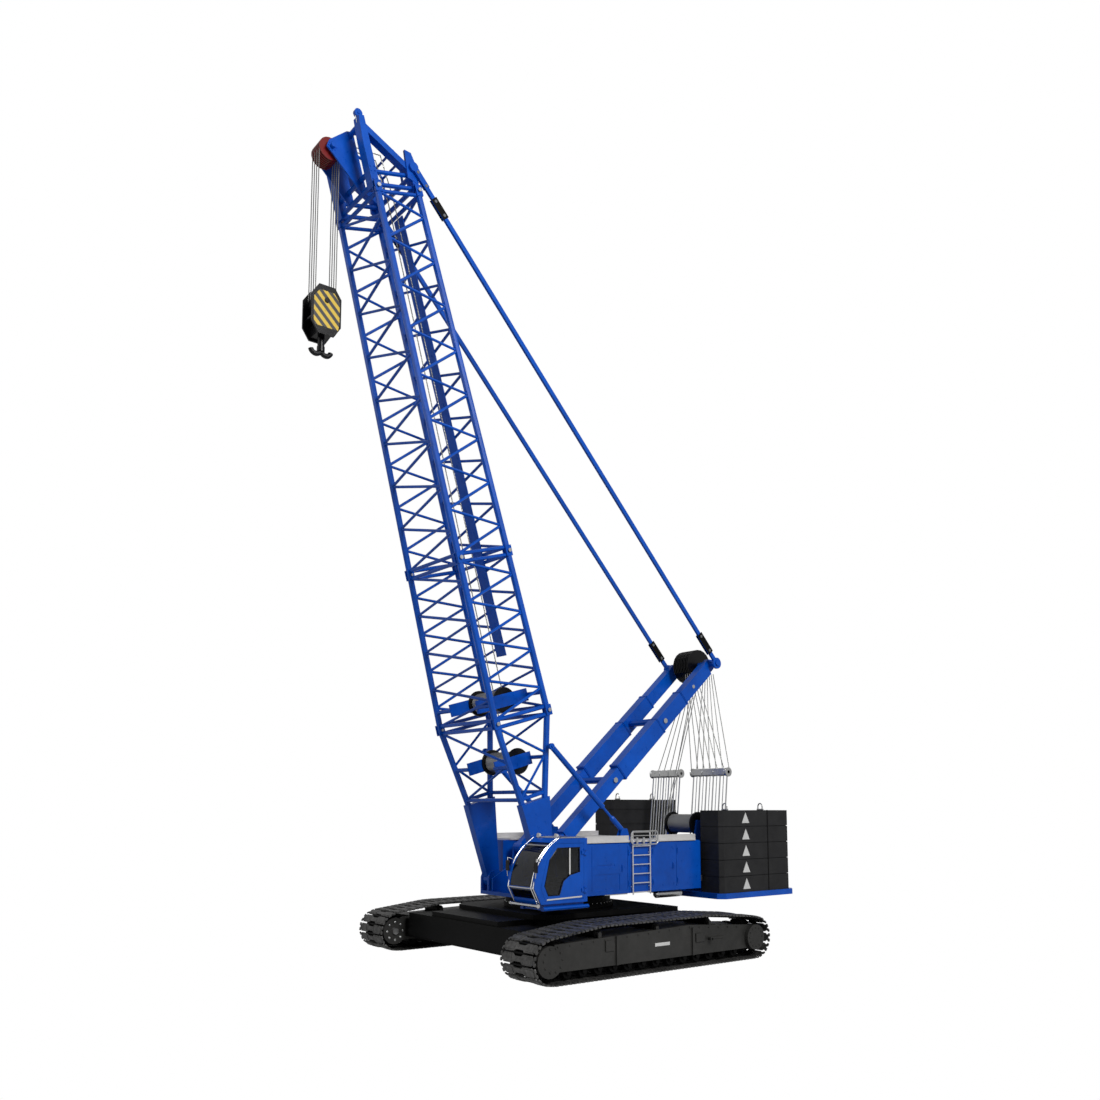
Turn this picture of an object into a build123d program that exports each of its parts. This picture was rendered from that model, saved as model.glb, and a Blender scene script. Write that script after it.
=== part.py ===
from build123d import *
import math
import os

# Crawler crane with a lattice boom, hung by two pendants from a mast that the luffing tackle holds.
# Lengths are in millimetres. Z is up, the ground is z = 0 and Z is the slewing axis.
# The crane faces -Y, so its left side, where the cab is, lies at +X.
os.makedirs("parts", exist_ok=True)

# ---- fits
running_gap = 6.0          # between pieces that move past each other
seat_gap = 0.3             # between a piece and what carries it
pin_play = 0.3             # radial play of an eye on its pin
ring_play = 0.3            # between the two halves of the slewing ring

# ---- tracks
track_x = 4300.0           # from the slewing axis to the middle of a track
shoe_width = 1620.0
shoe_count = 66
shoe_gap = 34.0            # open joint between two shoes
shoe_out = 70.0            # from the link pins to the face that treads the ground
joint_out = 22.0           # from the link pins to the bottom of the joint between shoes
link_in = 60.0             # from the link pins to the inside of the track
idler_y = -4220.0
idler_pitch_radius = 590.0
sprocket_y = 4220.0
sprocket_pitch_radius = 620.0
top_roller_ys = (-2300.0, 0.0, 2300.0)
top_roller_radius = 132.0
top_roller_rise = 8.0      # the track sags this much clear between its link pins
top_run_height = 1470.0    # of the link pins over the top rollers
idler_radius = 495.0
idler_width = 560.0
sprocket_teeth = 13
sprocket_root_radius = 455.0
sprocket_tip_radius = 512.0
sprocket_width = 420.0
roller_count = 13
roller_radius = 165.0
roller_end_gap = 93.0        # from the end rollers to the tips of the sprocket
roller_span = 2 * (sprocket_y - sprocket_tip_radius - roller_end_gap - roller_radius)
roller_width = 940.0
roller_hub_radius = 70.0

idler_z = shoe_out + idler_pitch_radius
sprocket_z = shoe_out + sprocket_pitch_radius
track_inside_z = shoe_out + link_in
roller_z = track_inside_z + roller_radius + seat_gap
top_roller_z = top_run_height - link_in - top_roller_radius - top_roller_rise

# ---- track frames
frame_inner_x = 3700.0
frame_outer_x = 4930.0
frame_wall = 70.0
frame_bottom_z = 350.0
frame_front_y = -4020.0
frame_rear_y = 4640.0
frame_top = ((-4020.0, 1110.0), (1300.0, 1270.0), (4000.0, 1090.0))   # y, z of the top edge
idler_slot_y = -3560.0     # the fork round the idler ends here
sprocket_slot_y = 3560.0
frame_rib_ys = (-1720.0, 1430.0)
rib_width = 90.0
rib_stand = 55.0
cover_radius = 440.0       # of the round cover on the idler's fork
cover_stand = 60.0
final_drive_radius = 400.0
final_drive_stand = 150.0

# ---- car body
body_top_z = 1600.0
body_plate = 150.0
body_half_x = 2600.0
body_half_y = 2650.0
body_bottom_z = 560.0
beam_outer_y = 3900.0      # front face of the front cross beam
beam_inner_y = 2700.0
beam_top_z = 1300.0
beam_end_x = 3300.0        # where a cross beam steps down to pass through the track
beam_end_top_z = 1060.0
beam_end_bottom_z = 470.0
keel_half_x = 1900.0
keel_top_z = 1450.0

# ---- slewing ring
ring_radius = 1850.0
ring_bore_radius = 1450.0
ring_seat_z = body_top_z
ring_lower_height = 140.0
ring_upper_height = 200.0
ring_upper_radius = 1780.0
ring_sides = 40
swivel_radius = 160.0        # rotary joint in the middle of the ring, for hoses and cables
swivel_height = 120.0

# ---- turntable
deck_bottom_z = ring_seat_z + ring_lower_height + ring_play + ring_upper_height
deck_half_x = 1250.0
deck_wall = 80.0
deck_top_z = 2960.0
deck_tie_ys = (-700.0, 1900.0, 4100.0, 6900.0)   # cross walls between the deck's two sides
deck_front_y = -1250.0
deck_rear_y = 8150.0
boom_pin_y = -1680.0
boom_pin_z = 2450.0
boom_pin_radius = 90.0
boom_leg_x = 1550.0
boom_leg_width = 300.0
ear_thickness = 90.0
ear_radius = 300.0
front_box_y = -2300.0
front_box_top_z = 2480.0
front_block_top_z = 2060.0
mast_pin_y = -950.0
mast_pin_z = 3500.0
mast_pin_radius = 70.0

# ---- house and walkways
house_inner_x = 1500.0
house_outer_x = 2600.0
house_front_y = -950.0
house_front_right_y = -1250.0
house_rear_y = 4280.0
house_bottom_z = 2100.0
house_top_z = 3750.0
house_wall = 45.0
walkway_thickness = 50.0
panel_groove = 14.0
panel_joint_ys = (-680.0, 850.0, 1950.0, 3100.0)
recess_depth = 16.0
recess_ys = (-550.0, 510.0)  # sunk panel low in the first door
recess_zs = (2240.0, 2750.0)
slot_ys = (-420.0, 300.0)    # slot for air above it
slot_zs = (2990.0, 3045.0)
bracket_ys = (-500.0, 1700.0, 3700.0)   # that hang the house on the deck
bracket_zs = (2300.0, 2560.0)
bracket_length = 160.0
engine_length = 1900.0
engine_width = 850.0
engine_height = 1150.0
engine_y = 1900.0
ladder_x = 2690.0
ladder_y = 1400.0
ladder_half = 390.0
ladder_bottom_z = 2050.0
ladder_top_z = 4090.0
ladder_tube = 44.0
rung_zs = (2120.0, 2420.0, 2720.0, 3020.0, 3320.0, 3620.0)

# ---- counterweight
tray_half_x = 3460.0
tray_front_y = 4400.0
tray_rear_y = 8380.0
tray_bottom_z = 1750.0
tray_top_z = deck_bottom_z - seat_gap
slab_inner_x = 2300.0
slab_outer_x = 3400.0
slab_front_y = 4490.0
slab_rear_y = 8160.0
slab_height = 572.0
slab_count = 5
slab_chamfer = 130.0
slab_joint = 26.0
slab_joint_depth = 30.0
top_slab_height = 400.0    # the thinner weight on the right stack

# ---- winches
drum_radius = 300.0
drum_flange_radius = 430.0
drum_length = 1500.0
flange_thickness = 50.0
luff_drum_y = 4850.0
luff_drum_z = 4300.0
luff_drum_x = 1330.0       # middle of the luffing winch
luff_drum_length = 1300.0
luff_flange_radius = 420.0
luff_drum_core_radius = 300.0

# ---- boom, in its own frame: t runs up the boom from the foot pins, n points to its back
boom_angle = 74.3          # above the horizontal
boom_axis_n = 400.0        # the middle of the lattice lies this far behind the foot pins
leg_top_t = 2700.0
leg_front_n = -280.0
leg_back_n = 660.0
foot_joint_t = 5400.0
middle_joint_t = 10700.0
head_joint_t = 22350.0
lattice_width_foot = 3270.0
lattice_width_head = 2480.0
lattice_depth_foot = 2100.0
lattice_depth_head = 1490.0
chord_size = 210.0
lacing_size = 95.0
cross_tube_size = 130.0
middle_bays = 4
upper_bays = 8
joint_flange = 60.0        # how far each section's end cross tubes stand from the joint
catwalk_width = 520.0
catwalk_thickness = 40.0
catwalk_start_t = 7400.0
winch_low_t = 3950.0
winch_high_t = 6000.0
winch_n = 520.0
winch_plate = 60.0

# ---- boom head
post_x = 1070.0              # middle of the head's posts
post_width = 340.0
post_top_t = 24550.0
back_post_top_t = 23150.0
arm_thickness = 50.0         # of the plates that hold the sheaves' shaft
head_bar_ts = (22520.0, 22920.0)
head_bar_size = 150.0
top_tube_t = 24340.0
top_tube_size = 170.0
guide_x = 560.0
guide_points = ((-330.0, 24330.0), (400.0, 24300.0), (1000.0, 23950.0), (1190.0, 23640.0), (1130.0, 22960.0))   # n, t
rope_lug_t = 24680.0
head_shaft_t = 23900.0
head_shaft_n = -1090.0
head_shaft_radius = 80.0
head_sheave_radius = 360.0
head_sheave_width = 120.0
head_sheave_count = 4
head_sheave_pitch = 160.0
pendant_lug_t = 23100.0
pendant_lug_n = 1150.0
lug_radius = 190.0

# ---- mast
mast_head_y = 6700.0
mast_head_z = 10350.0
mast_leg_x = 920.0
mast_leg_width = 400.0
mast_leg_depth = 620.0
mast_foot_width = 260.0
mast_foot_depth = 420.0
mast_sleeves = ((0.06, 0.38, 0.76), (0.38, 0.63, 1.0), (0.63, 0.79, 0.9), (0.79, 0.97, 0.78))  # from, to, ratio
mast_tube = 240.0
mast_tube_places = (0.34, 0.66)
mast_sheave_radius = 620.0
mast_sheave_width = 110.0
mast_sheave_pitch = 170.0
mast_sheave_count = 5
mast_shaft_radius = 110.0

# ---- pendants
pendant_x = 1300.0
pendant_height = 150.0
pendant_width = 90.0
pendant_eye_radius = 150.0

# ---- luffing tackle links
link_anchor_y = 5950.0
link_anchor_z = 3260.0
link_blocks = ((1300.0, 840.0), (-1015.0, 730.0))   # middle in x, half the row of rods
link_rod_count = 6
link_rod_radius = 26.0
link_block_height = 2930.0
link_block_radius = 150.0
beam_top_z_deck = 2920.0   # of the cross beam that carries the links
link_shaft_radius = 60.0

# ---- backstops
stop_x = 1890.0
stop_foot_y = 1300.0
stop_foot_z = 4090.0
stop_head_t = 4250.0       # the tube's pin lies on the back chord here
stop_tube_radius = 90.0
stop_tube_length = 2900.0
stop_tube_end = 260.0      # solid end of the tube under its eye
stop_rod_radius = 42.0
stop_rod_length = 3150.0
stop_rod_play = 0.3
stop_eye_radius = 100.0
stop_eye_width = 90.0
stop_pin_radius = 40.0

# ---- hook tackle
hook_block_z = 19850.0
hook_cheek_height = 1500.0
hook_cheek_width = 950.0
hook_cheek_thickness = 60.0
hook_half_thickness = 360.0
hook_spacers = ((360.0, -160.0), (180.0, 740.0))   # out from the middle, up from the block's middle
hook_sheave_radius = 360.0
hoist_rope_size = 34.0
sheave_groove = 45.0
sheave_sides = 20
hook_rope_xs = (-240.0, -80.0, 80.0, 240.0)
hook_shank_radius = 105.0
hook_section = 80.0        # radius of an arm
hook_curl = 165.0
hook_arm_drop = 1095.0
crosshead_drop = 340.0

# ---- cab
cab_inner_x = 1850.0
cab_outer_x = 3230.0
cab_wall = 55.0
cab_rear_y = -1400.0
cab_bottom_z = 2020.0
cab_top_z = 3950.0
cab_nose_y = -3440.0
cab_nose_z = 2500.0
cab_toe_y = -3190.0
cab_brow_y = -2480.0
cab_bulge = (-3180.0, 3340.0)      # y, z of a point on the windscreen's curve
rear_window_zs = (2900.0, 3700.0)
inner_window_zs = (2750.0, 3650.0)   # of the window that looks at the boom
door_gap = 8.0
door_rear_y = -1540.0
door_front_y = -3010.0
door_bottom_z = 2120.0
door_top_z = 3800.0
hinge_zs = (2380.0, 3520.0)
hinge_out = 32.0           # from the door's outer face to its hinge pins
hinge_pin_radius = 11.0
hinge_barrel_radius = 22.0
hinge_height = 110.0
glass_thickness = 10.0
cab_arm_bottom_z = 1800.0
step_tube = 120.0


# ------------------------------------------------------------------ helpers

def save(name, shape):
    export_step(shape, f"parts/{name}.step")


def outline_yz(points):
    return make_face(Plane.YZ * Polyline(*points, close=True))


def slab_yz(points, x_from, x_to):
    """A plate cut to a side view: points are (y, z), the thickness runs along X."""
    return extrude(Pos(x_from, 0, 0) * outline_yz(points), amount=x_to - x_from, dir=(1, 0, 0))


def block(x_from, x_to, y_from, y_to, z_from, z_to):
    size = (x_to - x_from, y_to - y_from, z_to - z_from)
    return Pos((x_from + x_to) / 2, (y_from + y_to) / 2, (z_from + z_to) / 2) * Box(*size)


def disc_x(x_from, x_to, y, z, radius):
    """A round along X."""
    middle = Pos((x_from + x_to) / 2, y, z) * Rot(0, 90, 0)
    return middle * Cylinder(radius, x_to - x_from)


def prism_x(x_from, x_to, y, z, flat_radius, sides):
    """A round of few sides along X, for what repeats or lies hidden; its flats stand flat_radius from the middle."""
    plane = Plane(origin=(x_from, y, z), x_dir=(0, 1, 0), z_dir=(1, 0, 0))
    polygon = RegularPolygon(flat_radius, sides, major_radius=False, rotation=180 / sides)
    return extrude(plane * polygon, amount=x_to - x_from)


def bar(start, end, size, sides=6, ridge=(0, 0, 1)):
    """A straight tube between two points; few sides keep it light, and one ridge faces a given way."""
    start = Vector(*start)
    end = Vector(*end)
    run = end - start
    along = run.normalized()
    ridge = Vector(*ridge) - along * along.dot(Vector(*ridge))
    plane = Plane(origin=start, x_dir=ridge, z_dir=run) if ridge.length > 0.01 else Plane(origin=start, z_dir=run)
    return extrude(plane * RegularPolygon(size / 2, sides), amount=run.length)


def round_bar(start, end, flat_radius, sides=16):
    """A rod or a bore of few sides; its flats stand flat_radius from the middle line."""
    return bar(start, end, 2 * flat_radius / math.cos(math.pi / sides), sides, (1, 0, 0))


def flat_bar(start, end, width, depth):
    """A box section whose width lies along X."""
    start = Vector(*start)
    end = Vector(*end)
    run = end - start
    plane = Plane(origin=start, x_dir=(1, 0, 0), z_dir=run)
    return extrude(plane * Rectangle(width, depth), amount=run.length)


def both_sides(shape):
    """The left shape and its mirror image; the two don't touch."""
    return Compound(list(shape.solids()) + list(mirror(shape, about=Plane.YZ).solids()))


def joined(pieces):
    pieces = list(pieces)
    first = pieces[0]
    return first.fuse(*pieces[1:]) if len(pieces) > 1 else first


# ------------------------------------------------------------------ undercarriage

def belt_points(count):
    """Link pins at equal steps on the loop round idler, sprocket and the outer top rollers."""
    top_radius = top_run_height - top_roller_z
    rounds = (                             # y, z, radius of the pin line, in travel order
        (idler_y, idler_z, idler_pitch_radius),
        (sprocket_y, sprocket_z, sprocket_pitch_radius),
        (top_roller_ys[-1], top_roller_z, top_radius),
        (top_roller_ys[0], top_roller_z, top_radius),
    )
    normals = []
    for index, (y, z, radius) in enumerate(rounds):
        y_next, z_next, radius_next = rounds[(index + 1) % len(rounds)]
        length = math.hypot(y_next - y, z_next - z)
        heading = math.atan2(z_next - z, y_next - y)
        normals.append(heading - math.acos((radius - radius_next) / length))
    runs = []
    for index, (y, z, radius) in enumerate(rounds):
        arc_from = normals[index - 1]
        arc = (normals[index] - arc_from) % math.tau
        runs.append(("arc", y, z, radius, arc_from, radius * arc))
        y_next, z_next, radius_next = rounds[(index + 1) % len(rounds)]
        normal = normals[index]
        start = (y + radius * math.cos(normal), z + radius * math.sin(normal))
        end = (y_next + radius_next * math.cos(normal), z_next + radius_next * math.sin(normal))
        runs.append(("line", start, end, math.dist(start, end)))
    total = sum(run[-1] for run in runs)
    points = []
    for step in range(count):
        left = total * step / count
        for run in runs:
            if left < run[-1]:
                break
            left -= run[-1]
        if run[0] == "arc":
            _, y, z, radius, arc_from, _ = run
            angle = arc_from + left / radius
            points.append((y + radius * math.cos(angle), z + radius * math.sin(angle)))
        else:
            _, start, end, length = run
            share = left / length
            points.append((start[0] + share * (end[0] - start[0]), start[1] + share * (end[1] - start[1])))
    return points


def track(side):
    pins = belt_points(shoe_count)
    outer = []
    inner = []
    for index, pin in enumerate(pins):
        before = pins[index - 1]
        after = pins[(index + 1) % shoe_count]
        bisect = Vector(after[1] - before[1], before[0] - after[0]).normalized()
        ahead = Vector(after[0] - pin[0], after[1] - pin[1])
        length = ahead.length
        ahead = ahead.normalized()
        out = Vector(ahead.Y, -ahead.X)
        here = Vector(*pin)
        inner.append(here - bisect * link_in)
        outer.append(here + bisect * joint_out)
        outer.append(here + ahead * (shoe_gap / 2) + out * shoe_out)
        outer.append(here + ahead * (length - shoe_gap / 2) + out * shoe_out)
    x_from = side * track_x - shoe_width / 2
    ring = slab_yz([(p.X, p.Y) for p in outer], x_from, x_from + shoe_width)
    hole = slab_yz([(p.X, p.Y) for p in inner], x_from - 1, x_from + shoe_width + 1)
    return ring - hole


def track_frame():
    """Left side frame: a box girder, forked round the idler and the sprocket, open below."""
    points = [(frame_front_y, frame_bottom_z), (frame_rear_y - 200, frame_bottom_z)]
    points += [(frame_rear_y, frame_bottom_z + 200), (frame_rear_y, frame_top[2][1] - 160)]
    points += [(y, z) for y, z in reversed(frame_top)]
    girder = slab_yz(points, frame_inner_x, frame_outer_x)
    slot_from = frame_inner_x + frame_wall
    slot_to = frame_outer_x - frame_wall
    front_slot = block(slot_from, slot_to, frame_front_y - 1, idler_slot_y, 0, top_run_height)
    rear_slot = block(slot_from, slot_to, sprocket_slot_y, frame_rear_y + 1, 0, top_run_height)
    roller_space = block(slot_from, slot_to, idler_slot_y, sprocket_slot_y, 0, roller_z + roller_radius + 60)
    girder = girder - front_slot - rear_slot - roller_space
    for y in top_roller_ys:
        girder = girder - block(slot_from, slot_to, y - top_roller_radius - 50, y + top_roller_radius + 50,
                                top_roller_z - top_roller_radius - 40, top_run_height)
    ribs = [
        slab_yz(
            [(y - rib_width / 2, frame_bottom_z), (y + rib_width / 2, frame_bottom_z),
             (y + rib_width / 2, 1180), (y - rib_width / 2, 1180)],
            frame_outer_x, frame_outer_x + rib_stand)
        for y in frame_rib_ys
    ]
    cover = prism_x(frame_outer_x - frame_wall, frame_outer_x + cover_stand, idler_y, idler_z, cover_radius, 24)
    inner_cover = prism_x(frame_inner_x, frame_inner_x + frame_wall, idler_y, idler_z, cover_radius, 16)
    drive = prism_x(frame_outer_x - frame_wall, frame_outer_x + final_drive_stand,
                    sprocket_y, sprocket_z, final_drive_radius, 24)
    inner_drive = prism_x(frame_inner_x, frame_inner_x + frame_wall, sprocket_y, sprocket_z, final_drive_radius, 16)
    saddles = []
    for y in top_roller_ys:
        saddles.append(prism_x(slot_from, slot_from + 120, y, top_roller_z, 60, 8))
        saddles.append(prism_x(slot_to - 120, slot_to, y, top_roller_z, 60, 8))
        saddles.append(block(slot_from, slot_from + 60, y - 60, y + 60, 1000, top_roller_z))
        saddles.append(block(slot_to - 60, slot_to, y - 60, y + 60, 1000, top_roller_z))
    return joined([girder] + ribs + [cover, inner_cover, drive, inner_drive] + saddles)


def idler():
    tyre = prism_x(track_x - idler_width / 2, track_x + idler_width / 2, idler_y, idler_z, idler_radius, 32)
    axle_end = (frame_outer_x - frame_inner_x) / 2 - frame_wall - seat_gap
    axle = prism_x((frame_inner_x + frame_outer_x) / 2 - axle_end, (frame_inner_x + frame_outer_x) / 2 + axle_end,
                   idler_y, idler_z, 150, 12)
    return tyre + axle


def sprocket():
    points = []
    for tooth in range(sprocket_teeth):
        for share, radius in ((0.0, sprocket_root_radius), (0.3, sprocket_tip_radius),
                              (0.55, sprocket_tip_radius), (0.85, sprocket_root_radius)):
            angle = math.tau * (tooth + share) / sprocket_teeth
            points.append((sprocket_y + radius * math.cos(angle), sprocket_z + radius * math.sin(angle)))
    wheel = slab_yz(points, track_x - sprocket_width / 2, track_x + sprocket_width / 2)
    middle = (frame_inner_x + frame_outer_x) / 2
    axle_end = (frame_outer_x - frame_inner_x) / 2 - frame_wall - seat_gap
    return wheel + prism_x(middle - axle_end, middle + axle_end, sprocket_y, sprocket_z, 180, 12)


def rollers():
    """Bottom and top rollers of the left track, each on its own axle."""
    pieces = []
    middle = (frame_inner_x + frame_outer_x) / 2
    axle_end = (frame_outer_x - frame_inner_x) / 2 - frame_wall - seat_gap
    for index in range(roller_count):
        y = -roller_span / 2 + roller_span * index / (roller_count - 1)
        body = prism_x(middle - roller_width / 2, middle + roller_width / 2, y, roller_z, roller_radius, 12)
        axle = prism_x(middle - axle_end, middle + axle_end, y, roller_z, roller_hub_radius, 6)
        pieces.append(body + axle)
    saddle_face = (frame_outer_x - frame_inner_x) / 2 - frame_wall - 120 - seat_gap
    for y in top_roller_ys:
        pieces.append(prism_x(middle - saddle_face, middle + saddle_face, y, top_roller_z,
                              top_roller_radius * math.cos(math.pi / 24), 24))
    return pieces


def carbody():
    keel = block(-keel_half_x, keel_half_x, -beam_outer_y + 60, beam_outer_y - 60, body_bottom_z, keel_top_z)
    plate = block(-body_half_x, body_half_x, -body_half_y, body_half_y, body_top_z - body_plate, body_top_z)
    plate = chamfer(plate.edges().filter_by(Axis.Z), 500)
    skirt = block(-body_half_x + 420, body_half_x - 420, -body_half_y + 220, body_half_y - 220,
                  beam_top_z - 200, body_top_z - body_plate)
    beams = []
    for sign in (-1, 1):
        y_from, y_to = sorted((sign * beam_inner_y, sign * beam_outer_y))
        beams.append(block(-beam_end_x, beam_end_x, y_from, y_to, body_bottom_z, beam_top_z))
        beams.append(block(-frame_inner_x, frame_inner_x, y_from + 90, y_to - 90,
                           beam_end_bottom_z, beam_end_top_z))
    swivel = Pos(0, 0, body_top_z + swivel_height / 2) * Cylinder(swivel_radius, swivel_height)
    return joined([keel, plate, skirt, swivel] + beams)


save("carbody", carbody())
left_track = track(1)
save("track_left", left_track)
save("track_right", mirror(left_track, about=Plane.YZ))
left_frame = track_frame()
save("track_frame_left", left_frame)
save("track_frame_right", mirror(left_frame, about=Plane.YZ))
save("idlers", both_sides(idler()))
save("sprockets", both_sides(sprocket()))
save("rollers", both_sides(Compound(rollers())))


def ring_z(outer_radius, z_from, height):
    """Half of the slewing ring, a band of few sides round the slewing axis."""
    outer = RegularPolygon(outer_radius, ring_sides)
    inner = RegularPolygon(ring_bore_radius, ring_sides)
    return extrude(Plane(origin=(0, 0, z_from)) * (outer - inner), amount=height)


save("slewing_ring_lower", ring_z(ring_radius, ring_seat_z, ring_lower_height))

# ------------------------------------------------------------------ upperworks

save("slewing_ring_upper", ring_z(ring_upper_radius, deck_bottom_z - ring_upper_height, ring_upper_height))


def turntable():
    """Box frame from the boom foot to the counterweight, with ears for boom, mast and tackle."""
    side = [
        (front_box_y + 400, deck_bottom_z), (deck_rear_y, deck_bottom_z), (deck_rear_y, deck_top_z - 300),
        (deck_rear_y - 600, deck_top_z), (deck_front_y + 200, deck_top_z), (front_box_y + 400, front_box_top_z),
    ]
    wall = slab_yz(side, deck_half_x - deck_wall, deck_half_x)
    floor = block(-deck_half_x, deck_half_x, front_box_y + 400, deck_rear_y, deck_bottom_z, deck_bottom_z + 70)
    ring_hole = extrude(Plane(origin=(0, 0, deck_bottom_z - 100)) * RegularPolygon(ring_bore_radius - 300, 24), amount=300)
    floor = floor - ring_hole
    ties = [block(-deck_half_x, deck_half_x, y, y + 120, deck_bottom_z, deck_top_z - 260)
            for y in deck_tie_ys]
    ear_gap = boom_leg_width / 2 + running_gap
    front = block(-boom_leg_x - ear_gap - ear_thickness, boom_leg_x + ear_gap + ear_thickness,
                  boom_pin_y - ear_radius, boom_pin_y + 700, deck_bottom_z, front_block_top_z)
    ears = []
    for sign in (-1, 1):
        for x in (sign * boom_leg_x - ear_gap - ear_thickness, sign * boom_leg_x + ear_gap):
            plate = block(x, x + ear_thickness, boom_pin_y - ear_radius, boom_pin_y + ear_radius,
                          deck_bottom_z, boom_pin_z)
            ears.append(plate + prism_x(x, x + ear_thickness, boom_pin_y, boom_pin_z, ear_radius, 16))
    mast_gap = mast_foot_width / 2 + running_gap
    for sign in (-1, 1):
        for x in (sign * mast_leg_x - mast_gap - 60, sign * mast_leg_x + mast_gap):
            profile = [(mast_pin_y - 260, deck_top_z - 500), (mast_pin_y + 620, deck_top_z - 500),
                       (mast_pin_y + 160, mast_pin_z), (mast_pin_y - 160, mast_pin_z)]
            ears.append(slab_yz(profile, x, x + 60) + prism_x(x, x + 60, mast_pin_y, mast_pin_z, 170, 12))
    shelf = block(-deck_half_x, deck_half_x, mast_pin_y - 260, mast_pin_y + 620, deck_top_z - 620, deck_top_z - 500)
    anchors = []
    for x_middle, half in link_blocks:
        for x_ear in (x_middle - half - 70 - seat_gap - 60, x_middle + half + 70 + seat_gap):
            anchors.append(slab_yz([(link_anchor_y - 160, beam_top_z_deck - 20), (link_anchor_y + 160, beam_top_z_deck - 20),
                                    (link_anchor_y + 90, link_anchor_z + 90),
                                    (link_anchor_y - 90, link_anchor_z + 90)], x_ear, x_ear + 60))
    beam_ends = [edge for x_middle, half in link_blocks for edge in (x_middle - half - 130 - seat_gap, x_middle + half + 130 + seat_gap)]
    beam = block(min(beam_ends), max(beam_ends), link_anchor_y - 260, link_anchor_y + 260,
                 deck_top_z - 420, beam_top_z_deck)
    pins = [disc_x(sign * boom_leg_x - ear_gap - ear_thickness - 20, sign * boom_leg_x + ear_gap + ear_thickness + 20,
                   boom_pin_y, boom_pin_z, boom_pin_radius) for sign in (-1, 1)]
    pins += [disc_x(sign * mast_leg_x - mast_gap - 70, sign * mast_leg_x + mast_gap + 70,
                    mast_pin_y, mast_pin_z, mast_pin_radius) for sign in (-1, 1)]
    rear_hook = block(-deck_half_x, deck_half_x, deck_rear_y - 400, deck_rear_y, deck_bottom_z, deck_bottom_z + 200)
    return joined([wall, mirror(wall, about=Plane.YZ), floor, front, shelf, beam, rear_hook] + ties + ears + anchors + pins)


save("turntable_frame", turntable())


def house(front_y):
    """A machinery house on the deck's left edge, with the joints of its doors as grooves."""
    shell = block(house_inner_x, house_outer_x, front_y, house_rear_y, house_bottom_z, house_top_z)
    shell = chamfer(shell.edges().filter_by(Axis.Y).sort_by(Axis.Z)[-1:], 40)
    hollow = block(house_inner_x + house_wall, house_outer_x - house_wall, front_y + house_wall,
                   house_rear_y - house_wall, house_bottom_z + house_wall, house_top_z - house_wall)
    shell = shell - hollow
    for y in panel_joint_ys:
        groove = block(house_outer_x - panel_groove, house_outer_x + 1, y - 8, y + 8,
                       house_bottom_z + 120, house_top_z - 120)
        shell = shell - groove
    shell = shell - block(house_outer_x - recess_depth, house_outer_x + 1, recess_ys[0], recess_ys[1],
                          recess_zs[0], recess_zs[1])
    shell = shell - block(house_outer_x - recess_depth, house_outer_x + 1, slot_ys[0], slot_ys[1],
                          slot_zs[0], slot_zs[1])
    brackets = [block(deck_half_x + seat_gap, house_inner_x, y, y + bracket_length, bracket_zs[0], bracket_zs[1])
                for y in bracket_ys]
    return joined([shell] + brackets)


left_house = house(house_front_y)
save("house_left", left_house)
save("house_right", mirror(house(house_front_right_y), about=Plane.YZ))
engine_x = -(house_inner_x + house_outer_x) / 2
engine_floor = house_bottom_z + house_wall + seat_gap
save("engine", block(engine_x - engine_width / 2, engine_x + engine_width / 2, engine_y - engine_length / 2,
                     engine_y + engine_length / 2, engine_floor, engine_floor + engine_height))

left_walkway = block(house_inner_x - 60, house_outer_x + 40, house_front_y - 20, house_rear_y - 260,
                     house_top_z + seat_gap, house_top_z + seat_gap + walkway_thickness)
save("walkways", both_sides(left_walkway))


def ladder():
    rails = []
    for sign in (-1, 1):
        y = ladder_y + sign * ladder_half
        rails.append(bar((ladder_x, y, ladder_bottom_z), (ladder_x, y, ladder_top_z), ladder_tube, 8))
        rails.append(bar((ladder_x, y, 3400), (house_outer_x + seat_gap, y, 3400), ladder_tube, 8))
        rails.append(bar((ladder_x, y, 2300), (house_outer_x + seat_gap, y, 2300), ladder_tube, 8))
    for z in rung_zs:
        rails.append(bar((ladder_x, ladder_y - ladder_half, z), (ladder_x, ladder_y + ladder_half, z), 36, 6))
    rails.append(bar((ladder_x, ladder_y - ladder_half, ladder_top_z - 10),
                     (ladder_x, ladder_y + ladder_half, ladder_top_z - 10), ladder_tube, 8))
    return joined(rails)


save("ladder", ladder())


def slab_stack(extra):
    """Cast weights, one on the other, keyed together by a core that shows in the joints."""
    layers = [slab_height] * slab_count + ([top_slab_height] if extra else [])
    z = tray_top_z + seat_gap
    core = block(slab_inner_x + slab_joint_depth, slab_outer_x - slab_joint_depth,
                 slab_front_y + slab_joint_depth, slab_rear_y - slab_joint_depth,
                 z, z + sum(layers) - slab_joint)
    core = chamfer(core.edges().filter_by(Axis.Z), slab_chamfer)
    pieces = [core]
    for height in layers:
        slab = block(slab_inner_x, slab_outer_x, slab_front_y, slab_rear_y, z, z + height - slab_joint)
        pieces.append(chamfer(slab.edges().filter_by(Axis.Z), slab_chamfer))
        z += height
    return joined(pieces)


save("counterweight_left", slab_stack(False))
save("counterweight_right", mirror(slab_stack(True), about=Plane.YZ))
tray = block(-tray_half_x, tray_half_x, tray_front_y, tray_rear_y, tray_bottom_z, tray_top_z)
tray = chamfer(tray.edges().filter_by(Axis.Z), 220)
save("counterweight_tray", tray)


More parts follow.
